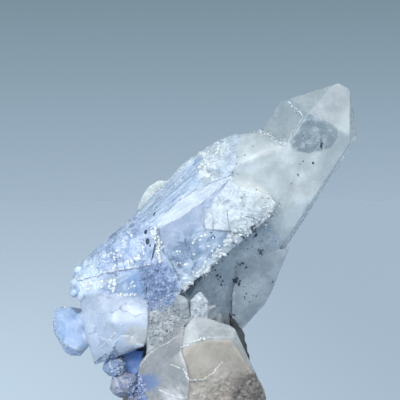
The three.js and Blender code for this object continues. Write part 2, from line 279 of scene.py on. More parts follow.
# Joins overlapping closed bodies into one skin.
def grownTogether(name, bodies):
    first = objectFrom(name, bodies[0])
    others = bpy.data.collections.new(name + "Others")
    scene.collection.children.link(others)
    for number, body in enumerate(bodies[1:]):
        part = objectFrom(f"{name}{number}", body)
        scene.collection.objects.unlink(part)
        others.objects.link(part)
    joining = first.modifiers.new("joining", "BOOLEAN")
    joining.operation = "UNION"
    joining.operand_type = "COLLECTION"
    joining.collection = others
    joining.solver = "EXACT"
    joined = bpy.data.meshes.new_from_object(first.evaluated_get(bpy.context.evaluated_depsgraph_get()))
    mesh = bmesh.new()
    mesh.from_mesh(joined)
    for part in list(others.objects):
        bpy.data.objects.remove(part)
    bpy.data.objects.remove(first)
    bpy.data.collections.remove(others)
    return mesh


def weightIn(zone, place):
    offset = [(place[i] - zone["centre"][i]) / zone["radii"][i] for i in range(3)]
    length = math.sqrt(sum(value * value for value in offset))
    soft = zone.get("soft", 0.4)
    level = min(max((1.0 + soft - length) / (2.0 * soft), 0.0), 1.0)
    return level * level * (3.0 - 2.0 * level)


# Bevels the sharp edges and divides the faces: no edge stays longer than `longest`, or `fine` in a zone.
def refined(mesh, longest, bevel, zones=(), fine=None, sharp=14.0):
    bmesh.ops.remove_doubles(mesh, verts=mesh.verts[:], dist=0.004 * mm)
    bmesh.ops.dissolve_limit(mesh, angle_limit=math.radians(0.6), verts=mesh.verts[:], edges=mesh.edges[:])
    if bevel:
        limit = math.radians(sharp)
        edges = [e for e in mesh.edges if len(e.link_faces) == 2 and e.calc_face_angle(0.0) > limit]
        bmesh.ops.bevel(mesh, geom=edges, offset=bevel * mm, segments=2, profile=0.5,
                        affect="EDGES", material=-1, clamp_overlap=True)
    bmesh.ops.triangulate(mesh, faces=mesh.faces[:])
    for _ in range(10):
        long = []
        for edge in mesh.edges:
            length = edge.calc_length() / mm
            if length > longest:
                long.append(edge)
            elif fine and length > fine:
                middle = (edge.verts[0].co + edge.verts[1].co) / (2.0 * mm)
                if any(weightIn(zone, middle) > 0.05 for zone in zones):
                    long.append(edge)
        if not long:
            break
        bmesh.ops.subdivide_edges(mesh, edges=long, cuts=1)
        bmesh.ops.triangulate(mesh, faces=[f for f in mesh.faces if len(f.verts) > 3])
    bmesh.ops.remove_doubles(mesh, verts=mesh.verts[:], dist=0.002 * mm)
    mesh.normal_update()
    return mesh


# Rounds off the edges in some zones.
def softened(mesh, zones):
    for zone in zones:
        near = [vert for vert in mesh.verts if weightIn(zone, vert.co / mm) > 0.3]
        for _ in range(zone["passes"]):
            bmesh.ops.smooth_vert(mesh, verts=near, factor=0.5,
                                  use_axis_x=True, use_axis_y=True, use_axis_z=True)
    mesh.normal_update()
    return mesh


# Pushes the surface in and out: gentle waves all over, and broken rock or sugary grain in zones.
def weathered(mesh, wave, waveSize, zones=(), keepFlat=None):
    moves = []
    for vert in mesh.verts:
        place = vert.co / mm
        height = wave * noise.noise(place / waveSize)
        for zone in zones:
            weight = weightIn(zone, place)
            if weight <= 0.0:
                continue
            grain = place / zone["size"]
            if zone["kind"] == "grains":
                near = noise.voronoi(grain)[0]
                height += weight * zone["depth"] * (0.5 - near[0])
            elif zone["kind"] == "facets":
                middle = noise.voronoi(grain + noise.noise_vector(grain) * 0.25)[1][0]
                tilt = noise.cell_vector(middle * 57.0)
                height += weight * zone["depth"] * ((grain - middle).dot(tilt) + 0.3 * tilt.x)
            elif zone["kind"] == "steps":
                level = noise.fractal(grain, 0.8, 2.0, 3)
                height += weight * zone["depth"] * (math.floor(level * 4.0) / 4.0)
            else:
                height += weight * zone["depth"] * noise.fractal(grain, 0.7, 2.1, 4)
        moves.append(height)
    for vert, height in zip(mesh.verts, moves):
        if keepFlat is not None and vert.co.z < keepFlat * mm:
            continue
        vert.co += vert.normal * height * mm
    mesh.normal_update()
    return mesh


def finished(name, mesh, material, sharpAngle=28.0):
    bmesh.ops.triangulate(mesh, faces=mesh.faces[:])
    count = len(mesh.faces)
    made = objectFrom(name, mesh)
    made.data.materials.append(material)
    made.data.shade_smooth()
    made.data.set_sharp_from_angle(angle=math.radians(sharpAngle))
    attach(made, "root")
    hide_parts("quartz_cluster")
    print(f"stage: {name}, {count} triangles")
    return made


# The crystals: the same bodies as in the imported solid.
mainPoint = {
    "at": (15.9, 0, 50.1), "lean": 57, "tilt": 15, "spin": 20, "root": 36,
    "sides": (5.1, 6.5, 5.8, 5.0, 6.2, 5.9),
    "caps": (7.2, 6.4, 6.1, 5.5, 5.4, 7.2),
}
backPoints = [
    {"at": (-6.5, 9, 30), "lean": 122, "tilt": -36, "spin": 5, "root": 12,
     "sides": (3.6, 3.1, 3.4, 3.8, 3.2, 3.5), "caps": (3.4, 2.8, 3.1, 3.6, 3, 3.2)},
    {"at": (3.4, 11, 16.8), "lean": 64, "tilt": -42, "spin": 24, "root": 11,
     "sides": (3, 2.6, 3.1, 2.8, 3.2, 2.7), "caps": (3.2, 2.5, 2.9, 3.4, 2.8, 3)},
    {"at": (-3.5, 13.4, 15), "lean": 98, "tilt": -55, "spin": 12, "root": 9,
     "sides": (2.3, 2, 2.2, 2.4, 2.1, 2.2), "caps": (1.8, 1.2, 1.6, 2, 1.5, 1.7)},
    {"at": (-12, 5.5, 20), "lean": 150, "tilt": -30, "spin": 30, "root": 10,
     "sides": (2.6, 2.2, 2.5, 2.7, 2.3, 2.4), "caps": (1.9, 1.4, 1.7, 2.1, 1.5, 1.8)},
    {"at": (-9.5, 10, 9.5), "lean": 160, "tilt": -50, "spin": 8, "root": 8,
     "sides": (2, 1.8, 2.1, 1.9, 2.2, 1.9), "caps": (1.5, 1, 1.4, 1.6, 1.2, 1.3)},
]
brokenHeel = [
    (14.4, 0.8, 34.5), (13, 1.6, 32.1), (11.7, 3, 27.7), (10.5, 3.6, 25.3), (8.5, 3.8, 24),
    (7.6, 3.9, 23), (6.8, 4, 21.2), (5.2, 3, 21.6), (5.2, 1.6, 26.9), (6.4, 0.4, 32.1), (9.3, 0.5, 33),
    (14.1, 6, 33.9), (12.8, 8, 31), (11, 9, 26.6), (7.3, 9, 22.5), (5.7, 9, 20.1), (4.1, 10, 25.7),
]
blueCrystal = [
    (-10.1, 0.4, 40.1), (-5.1, 0.8, 45.1), (-2.7, 0.8, 47.8), (-0.5, 0.6, 48.6), (2.7, 0.4, 51.4),
    (-7, -5.4, 39.8), (-2.5, -5.5, 43), (5.2, -5.1, 46.3), (-7.3, -6.6, 37.6), (-3.6, -6.7, 39),
    (0.3, -6.3, 41.7), (12.1, -5, 41.5), (10.8, -5.3, 39), (6.3, -5.8, 36.6), (1.7, -6.1, 31.7),
    (-2.7, -6.2, 27.7), (-7.9, -6.4, 27.4), (-8.1, 6, 40.9), (4, 6, 51.4), (11.6, 3.5, 41.2),
    (6.4, 4.5, 35.6), (-2.7, 5, 27.8), (-8.1, 6.5, 30.7),
]
silverLedge = [
    (2.2, -5.5, 43.9), (5.1, -5, 45.5), (9.8, -5.5, 42.5), (11.9, -5.2, 41.5), (10.6, -5.7, 39),
    (6.3, -6.2, 36.9), (3.5, -6.6, 37.3), (0.8, -6.5, 37.4), (0.5, -6.3, 40.9), (6, -6.5, 41.2),
    (9.2, -6.1, 40.3), (6.4, -3, 42), (2.4, -3, 38.8),
]
bluntEnd = [
    (-10.1, 0.4, 39.9), (-12.8, 0.2, 37.5), (-16.3, 0, 34.2), (-17.6, -0.3, 33.1), (-19.7, -0.6, 31.5),
    (-20.3, -1, 29.7), (-20.8, -1.6, 27.6), (-19.9, -4.3, 29), (-7.9, -8.6, 31.4), (-6.8, -7, 37.6),
    (-7, -5.6, 39.6), (-14, -4.4, 34.7), (-19.4, -3.2, 26.6), (-18.1, -5.2, 26.3), (-8.7, -7.1, 26),
    (-9.7, 8, 37.9), (-17, 7, 32), (-19.4, 6, 27.5), (-8.1, 8, 25.8),
]
milkyCompanion = [
    (6.4, -2.5, 52.9), (9.9, -4.2, 52.9), (11.7, -5.2, 51.8), (13.6, -6.3, 50.5), (15.4, -5.8, 49.8),
    (15.9, -4.6, 47.6), (14.6, -3.5, 44.4), (12.4, -2.5, 41.4), (5.2, -5.6, 46), (7.6, -6.3, 48.3),
    (3.8, -4.2, 48.7), (0.8, -3.6, 47.1), (2.7, 0.6, 51.4), (-0.5, 0.9, 48.6), (4.6, 0.2, 52.2),
    (5.7, 6, 51.7), (10, 5.5, 52.3), (13.7, 6, 48.5), (8.1, 8, 42), (2.4, 6, 46),
]
darkBlueRoot = [
    (-6.8, -8.3, 34.7), (-4.7, -7.6, 32.2), (-2.7, -6.6, 27.9), (-4.4, -6.8, 25.4), (-6.3, -7.2, 24),
    (-8.1, -6.6, 23.6), (-8.5, -7.8, 26.2), (-8, -8.9, 31.3), (-5.6, 4, 29.1), (-8.1, 4, 25.9),
]
milkyEnd = [
    (-18.5, -3.4, 27.5), (-19.1, -4, 26.1), (-16.5, -5.6, 26.8), (-12.7, -6.6, 27.1), (-8.6, -6, 27.7),
    (-8.2, -7.8, 24.6), (-8.2, -8.1, 21.3), (-8.1, -7.6, 19.4), (-11.4, -7, 18.8), (-13.3, -6.6, 18.1),
    (-16.8, -4.8, 15.8), (-17.2, -5.6, 17.6), (-18.4, -5.7, 22), (-18.9, -5, 24.2), (-13.6, -8.4, 22.4),
    (-13.7, -7.6, 18.6), (-10.4, -8.5, 22.3), (-18, 3, 25.9), (-8.4, 4, 25.9), (-8.4, 3, 18.5),
    (-16, 1.5, 16.3),
]
blueKnob = [
    (-23.2, -2.4, 24.7), (-21.7, -1.6, 25), (-20.7, -2.6, 25), (-19.1, -4.2, 23.3), (-18.2, -5, 19.6),
    (-18.4, -4.4, 17.9), (-19.7, -6, 18.3), (-21.4, -6.4, 19.3), (-23.2, -4.6, 21), (-23.4, -3.6, 22.3),
    (-22.3, -2.5, 19.2), (-21.6, -2.2, 17.8), (-20.7, -2.4, 17.2), (-19, -2.8, 17.2),
    (-21.2, -6.3, 22.2), (-22.8, 3, 24), (-23.2, 3, 21.1), (-20.9, 3, 17.9), (-17.7, 2, 24.3),
    (-17.7, 2, 18.7),
]
bumpBehind = [
    (-5.1, 3, 45.1), (-6.7, 2.6, 45.1), (-8.3, 2, 44.1), (-9.3, 2, 42.6), (-9.8, 2.5, 41.5),
    (-10.1, 3, 39.9), (-6.3, 6.5, 44.6), (-8.7, 6.8, 43.1), (-9.5, 6, 40.4), (-4, 4, 42), (-6.4, 3, 38),
]

endLumps = [
    {"at": (-19.3, -2.0, 30.8), "radii": (0.95, 1.2, 0.9), "seed": 51},
    {"at": (-17.8, -2.6, 31.4), "radii": (0.9, 1.2, 1.2), "seed": 52},
    {"at": (-18.5, -3.6, 29.7), "radii": (0.8, 1.0, 0.7), "seed": 53},
    {"at": (-19.8, -3.2, 28.9), "radii": (0.8, 1.1, 0.8), "seed": 54},
    {"at": (-20.0, -2.8, 27.3), "radii": (0.8, 1.1, 0.8), "seed": 55},
    {"at": (-18.8, -4.2, 26.8), "radii": (0.7, 0.9, 1.0), "seed": 56},
    {"at": (-16.8, -4.6, 29.5), "radii": (1.1, 0.8, 0.6), "seed": 57},
    {"at": (-16.2, -2.6, 32.3), "radii": (0.7, 1.0, 0.6), "seed": 58},
    {"at": (-18.8, -3.9, 22.7), "radii": (1.3, 1.3, 1.7), "seed": 59},
    {"at": (-18.5, -3.9, 19.8), "radii": (1.1, 1.4, 1.9), "seed": 60},
]
quartzBody = {
    "longest": 0.8, "fine": 0.36, "bevel": 0.14, "wave": 0.03, "waveSize": 2.2,
    "zones": [
        {"kind": "steps", "centre": (6.4, -6.2, 40.5), "radii": (5.6, 2.2, 3.8), "depth": 0.4, "size": 2.0},
        {"kind": "facets", "centre": (-1, -6.6, 34), "radii": (3.6, 3, 3.6), "depth": 0.3, "size": 1.6},
        {"kind": "rough", "centre": (-5.2, -7, 28.5), "radii": (3.4, 4, 5), "depth": 0.3, "size": 0.9},
        {"kind": "facets", "centre": (-12.5, -4, 33), "radii": (6.5, 5, 4.6), "depth": 0.42, "size": 1.5},
        {"kind": "facets", "centre": (1.5, -2, 48.5), "radii": (6, 4, 3.2), "depth": 0.35, "size": 1.3},
        {"kind": "facets", "centre": (-13, -6.5, 21.5), "radii": (5, 3.4, 5), "depth": 0.5, "size": 3.0},
        {"kind": "rough", "centre": (-10, 9, 22), "radii": (10, 6, 10), "depth": 0.2, "size": 1.6},
    ],
    "softened": [
        {"centre": (-13, -5, 22), "radii": (6.4, 6, 6), "passes": 24},
        {"centre": (-18.4, -4.8, 21.2), "radii": (1.2, 2.2, 3.6), "passes": 6},
        {"centre": (8, -4, 48.5), "radii": (8.5, 4.4, 5), "passes": 26},
        {"centre": (10, -3, 29), "radii": (6, 5, 9), "passes": 8},
    ],
}


def makeQuartzBody(material):
    bodies = [prismFrom(mainPoint)]
    for corners in (brokenHeel, blueCrystal, silverLedge, bluntEnd, milkyCompanion,
                    darkBlueRoot, milkyEnd, blueKnob, bumpBehind):
        bodies.append(hullFrom(corners))
    bodies += [prismFrom(point) for point in backPoints]
    bodies += [rockFrom({"fineness": 3, "roughness": 0.1, "chips": 4, **lump}) for lump in endLumps]
    mesh = grownTogether("quartzBody", bodies)
    zones = quartzBody["zones"]
    mesh = refined(mesh, quartzBody["longest"], quartzBody["bevel"], zones, quartzBody["fine"])
    mesh = softened(mesh, quartzBody["softened"])
    mesh = weathered(mesh, quartzBody["wave"], quartzBody["waveSize"], zones)
    return finished("quartzBody", mesh, material)


cappedCrystal = [
    (-0.4, -8.4, 23.8), (4.6, -8, 22.3), (5.5, -8.6, 21.7), (5.6, -10, 20), (4.9, -11.4, 19.9),
    (1.4, -13, 20), (-0.4, -13.5, 19.6), (-2.2, -13.8, 19.3), (-2.8, -14, 18.6), (-3.9, -11, 20),
    (-1.6, -9, 23.1), (-3, -14.6, 16.9), (6.8, -9.6, 16.8), (8.4, -8.6, 14.2), (10.3, -7.6, 11.5),
    (5.1, 2, 21.1), (6.4, 3, 17.9), (-4, 0, 19.6), (-2.4, -14.6, 6), (10.4, -7.2, 8), (8.6, 5, 6),
    (-2.4, -13.4, -1), (8.6, -7, -1), (7, 4, -1), (-7, 2, -1), (-8, 4, 10),
]
paleNeighbour = [
    (-2.5, -8.8, 23.4), (-5.7, -9.8, 20), (-8.3, -9.8, 17.8), (-9.6, -9.8, 16.3), (-9.8, -10, 14.9),
    (-9.7, -10.4, 13.1), (-3.9, -12, 19.9), (-3, -14.4, 18.6), (-2.2, -15, 16.3), (-1.7, -15.2, 13.9),
    (-7.8, -12.4, 15), (-4.7, -14, 17), (-1.9, -14.8, 6), (-9.6, -10.2, 5), (-3, -13.2, -1),
    (-8.6, -9.4, -1), (-3, 0, 17), (-9, 0, 16), (-3, 0, -1), (-9, 0, -1),
]
darkSliver = [
    (5.7, -2, 21), (6.8, 1, 21.3), (7.2, 2, 19), (7.2, 2, 16.6), (7.5, 1.6, 15.7), (8.3, 1.4, 15.2),
    (8.4, 1.6, 13.8), (6.4, -4, 14.7), (5.9, -5, 18.2), (5.8, 8, 20.9), (8.1, 8, 14.1), (4.5, 4, 24),
]
bluePocket = [
    (-13.3, -1, 17.7), (-11.5, -1, 18.4), (-8.9, -1.5, 17.9), (-9.9, -2, 16), (-10, -2, 13.9),
    (-11.8, -2, 14.1), (-13.1, -1.5, 16.3), (-13.3, 7, 17.4), (-8.9, 8, 17.7), (-9.2, 8, 12.8),
    (-12.6, 6, 13.2),
]
granularSeam = [
    (-8.2, -7.2, 24.3), (-5.5, -7.2, 25.4), (-2.2, -7.6, 24.1), (-0.6, -6.6, 24.6), (2.4, -5, 25.2),
    (-7.9, -8.2, 19.4), (-8.4, -8.6, 17.7), (-5.5, -9.6, 19.8), (-1.9, -8.6, 22.9), (-8.1, 4, 23.5),
    (4, 4, 22.7), (4, 5, 16.2), (-8.1, 4, 16.2),
]


# Rough rock: a ball, pushed in and out and struck flat here and there.
def rockFrom(spec):
    mesh = bmesh.new()
    bmesh.ops.create_icosphere(mesh, subdivisions=spec["fineness"], radius=1.0)
    draw = random.Random(spec["seed"])
    chips = []
    for _ in range(spec["chips"]):
        normal = Vector((draw.uniform(-1, 1), draw.uniform(-1, 1), draw.uniform(-1, 1))).normalized()
        chips.append((normal, draw.uniform(0.74, 0.94)))
    radii = Vector(spec["radii"])
    for vert in mesh.verts:
        apart = Vector((spec["seed"], 0, 0))
        vert.co *= 1.0 + spec["roughness"] * noise.fractal(vert.co * 2.5 + apart, 0.9, 2.0, 4)
        for normal, depth in chips:
            over = vert.co.dot(normal) - depth
            if over > 0:
                vert.co -= normal * over * 0.85
        vert.co = (Vector(spec["at"]) + vert.co * radii) * mm
        vert.normal_update()
    return mesh


def cutAtFoot(mesh):
    everything = mesh.verts[:] + mesh.edges[:] + mesh.faces[:]
    cut = bmesh.ops.bisect_plane(mesh, geom=everything, plane_co=(0, 0, 0), plane_no=(0, 0, -1),
                                 clear_outer=True)
    rim = [item for item in cut["geom_cut"] if isinstance(item, bmesh.types.BMEdge)]
    if rim:
        bmesh.ops.edgeloop_fill(mesh, edges=rim)
    return mesh


footRocks = [
    {"at": (-0.9, -0.8, 4.8), "radii": (12.6, 12.6, 12.3),
     "roughness": 0.06, "chips": 18, "fineness": 6, "seed": 5},
    {"at": (2, -6.4, 1.5), "radii": (9.6, 9.2, 8.2),
     "roughness": 0.07, "chips": 14, "fineness": 5, "seed": 31},
    {"at": (-1.5, 8, 17.5), "radii": (7.9, 6.2, 7.8),
     "roughness": 0.08, "chips": 14, "fineness": 5, "seed": 41},
]
lumps = [
    {"name": "greyLump", "at": (-13.6, -3.6, 15.4), "radii": (1.8, 2.6, 1.6),
     "roughness": 0.12, "chips": 7, "fineness": 4, "seed": 11},
    {"name": "pinkishLump", "at": (-12, -4, 12.6), "radii": (2.3, 3.4, 2.2),
     "roughness": 0.12, "chips": 8, "fineness": 4, "seed": 21},
]


def makeFootRock(material):
    mesh = grownTogether("footRock", [rockFrom(spec) for spec in footRocks])
    mesh = cutAtFoot(mesh)
    return finished("footRock", mesh, material, 40.0)


def makeBlock(name, corners, settings, material):
    mesh = hullFrom(corners)
    mesh = refined(mesh, settings["longest"], settings["bevel"], settings["zones"], settings["fine"])
    mesh = weathered(mesh, settings["wave"], settings["waveSize"], settings["zones"], 0.01)
    return finished(name, cutAtFoot(mesh), material)


twinPoints = [
    {"at": (-2.8, -7.6, 25), "lean": 101, "tilt": 14, "spin": 15, "root": 3,
     "sides": (0.95, 1.15, 1, 0.95, 1.15, 1), "caps": (1.1, 1.2, 1, 1, 1.1, 1.1)},
    {"at": (-0.1, -7.8, 25.5), "lean": 89, "tilt": 12, "spin": 25, "root": 3,
     "sides": (1.1, 1.35, 1.2, 1.1, 1.35, 1.2), "caps": (0.7, 0.6, 0.7, 0.6, 0.6, 0.8)},
]


def makeTwinPoints(materials):
    made = []
    for name, point, material in zip(("greyTwin", "whiteTwin"), twinPoints, materials):
        mesh = refined(prismFrom(point), 0.25, 0.14)
        mesh = softened(mesh, [{"centre": point["at"], "radii": (6, 6, 6), "passes": 3}])
        mesh = weathered(mesh, 0.14, 0.6)
        made.append(finished(name, mesh, material))
    return made


# A zone of a crystal's surface inside (x, z) corners, seen from the front, with its grain and two tones.
def zone(texture, dark, pale, soft, corners, **more):
    return {"texture": texture, "dark": dark, "pale": pale, "soft": soft, "corners": corners, **more}


quartzGlass = {"bending": 1.544, "haze": 0.45, "hazeReach": (0.0022, 0.0025, 0.003)}


# A quartz finish: clear and milky quartz, with zones seen from the front that differ in tone and grain.
def crystalMaterial(name, spec):
    material, g = newMaterial(name)
    place = g.inMillimetres()
    bent = g.warped(place, 4.0, spec["bend"])
    jagged = g.warped(g.warped(place, 0.9, 0.55), 0.3, 0.2)
    cloud = g.noise(place, 3.2, 5.0, 0.62)
    fine = g.noise(place, 0.7, 6.0, 0.68)
    grit = g.smooth(g.noise(place, 0.28, 3.0, 0.75), 0.38, 0.62)
    chipHeight, chipLevel = g.chips(g.warped(place, 1.6, 1.2), spec["chipSize"])
    cracks = g.cracks(g.warped(place, 1.2, 0.9), spec["crackSize"], 0.09)
    speckled = g.smooth(fine, 0.38, 0.62)
    _, flakeLevel = g.chips(g.warped(place, 0.9, 0.8), spec["chipSize"] * 0.45)
    plates = g.smooth(chipLevel, 0.35, 0.65) * 0.4 + g.smooth(flakeLevel, 0.5, 0.75) * 0.35
    glints = g.smooth(flakeLevel, 0.9, 0.93) * g.smooth(fine, 0.4, 0.5)
    veins = g.cracks(g.warped(place, 0.8, 0.8), spec["crackSize"] * 0.55, 0.14)
    smoke = g.noise(g.warped(place, 2.0, 1.6), 1.5, 5.0, 0.6)
    textures = {
        "cloud": g.smooth(cloud, 0.32, 0.68),
        "mottled": g.smooth(cloud, 0.34, 0.66) * 0.7 + speckled * 0.3,
        "smoky": g.smooth(smoke, 0.4, 0.62) * 0.75 + grit * 0.25,
        "broken": (chipLevel * 0.4 + speckled * 0.3 + cracks * 0.35 + grit * 0.1 + glints * 0.4).clamped(),
        "mosaic": (plates + speckled * 0.12 + veins * 0.3 + glints * 0.6 - 0.02).clamped(),
        "sugar": speckled * 0.6 + grit * 0.4,
    }
    colour = g.mix(textures["mottled"], spec["dark"], spec["pale"])
    milk = g.smooth(cloud, 0.3, 0.7, spec["milk"] - 0.06, spec["milk"] + 0.06)
    broken = g.smooth(cloud, 0.45, 0.7, 0.0, spec["broken"])
    for zone in spec["blueZones"]:
        blueness = g.blob(bent, zone["centre"], zone["radii"], 0.6) * g.smooth(cloud, 0.3, 0.62, 0.5, 1.0)
        colour = g.mix(blueness * zone["strength"], colour, spec["blue"])
    for zone in spec["zones"]:
        edge = jagged if zone["texture"] in ("broken", "sugar") else place
        inside = g.outline(edge, zone["corners"], zone["soft"], zone.get("farY", 0.8))
        inside = inside * zone.get("strength", 1.0)
        texture = textures.get(zone["texture"])
        if zone["texture"] == "streaks":
            texture = g.smooth(g.streaks(place, zone["angle"], 0.35, 9.0), 0.34, 0.62) * 0.75 + grit * 0.25
        elif zone["texture"] == "shards":
            shards = g.streaks(g.warped(place, 2.0, 1.0), zone["angle"], 0.8, 3.5)
            texture = g.smooth(shards, 0.4, 0.6) * 0.7 + g.smooth(chipLevel, 0.3, 0.7) * 0.3
        colour = g.mix(inside, colour, g.mix(texture, zone["dark"], zone["pale"]))
        if "milk" in zone:
            milk = milk + inside * (zone["milk"] - milk)
        if "broken" in zone:
            broken = broken + inside * (zone["broken"] - broken)
    # Painted shadows: darker blobs mixed into the colour where shade falls, under the seam and about the
    # tip.
    for paintedShadow in spec["paintedShadows"]:
        shadow = g.blob(jagged, paintedShadow["centre"], paintedShadow["radii"], 0.5)
        shadow = shadow * g.smooth(fine, 0.35, 0.6, 0.45, 1.0)
        colour = g.mix(shadow * paintedShadow["strength"], colour, paintedShadow["tone"])
    for speck in spec["specks"]:
        dots = g.grains(jagged, speck["spacing"], speck["size"], speck["share"])
        dots = dots * g.blob(place, speck["centre"], speck["radii"], 0.4)
        colour = g.mix(dots * 0.9, colour, speck["tone"])
        milk = milk.atLeast(dots * 0.9)
    ripple = g.noise(place, 0.55, 5.0, 0.6)
    relief = ripple * spec["bump"] + chipHeight * broken * 0.4
    relief = relief + grit * broken * 0.02 - cracks * broken * 0.05
    normal = g.bump(relief, 1.0)
    milky = g.make("ShaderNodeBsdfPrincipled", None, {
        "Base Color": colour, "Roughness": g.smooth(fine, 0.3, 0.7, 0.1, 0.34),
        "IOR": quartzGlass["bending"],
        "Subsurface Weight": quartzGlass["haze"], "Subsurface Radius": quartzGlass["hazeReach"],
        "Subsurface Scale": 1.0,
        "Normal": normal}, "BSDF")
    tint = g.mix(0.55, colour, (1.0, 1.0, 1.0))
    clear = g.make("ShaderNodeBsdfPrincipled", None, {
        "Base Color": tint, "Roughness": g.smooth(fine, 0.35, 0.75, 0.02, 0.2),
        "IOR": quartzGlass["bending"],
        "Transmission Weight": 1.0, "Normal": normal}, "BSDF")
    surface = g.make("ShaderNodeMixShader", None, {0: milk.clamped(), 1: clear, 2: milky}, "Shader")
    inputs = {"Color": spec["absorb"], "Density": spec["density"]}
    volume = g.make("ShaderNodeVolumeAbsorption", None, inputs, "Volume")
    g.make("ShaderNodeOutputMaterial", None, {"Surface": surface, "Volume": volume})
    return material


def rockMaterial(name, spec):
    material, g = newMaterial(name)
    place = g.inMillimetres()
    cloud = g.noise(place, spec["cloudSize"], 5.0, 0.65)
    fine = g.noise(place, 0.45, 5.0, 0.7)
    colour = g.mix(g.smooth(cloud, 0.32, 0.68), spec["dark"], spec["pale"])
    colour = g.mix(g.smooth(fine, 0.5, 0.75, 0.0, 0.5), colour, spec["glint"])
    stirred = g.warped(place, 1.0, 0.6)
    specks = g.grains(stirred, spec["speckSpacing"], spec["speckSize"], spec["speckShare"])
    colour = g.mix(specks * 0.85, colour, spec["speck"])
    normal = g.bump(fine + cloud, spec["bump"], 0.8)
    sheen = g.smooth(fine, 0.3, 0.7, spec["roughness"] - 0.15, spec["roughness"] + 0.15)
    surface = g.make("ShaderNodeBsdfPrincipled", None, {
        "Base Color": colour, "Roughness": sheen, "IOR": quartzGlass["bending"],
        "Subsurface Weight": spec["soft"], "Subsurface Radius": (0.001, 0.001, 0.001),
        "Subsurface Scale": 1.0,
        "Normal": normal}, "BSDF")
    g.make("ShaderNodeOutputMaterial", None, {"Surface": surface})
    return material


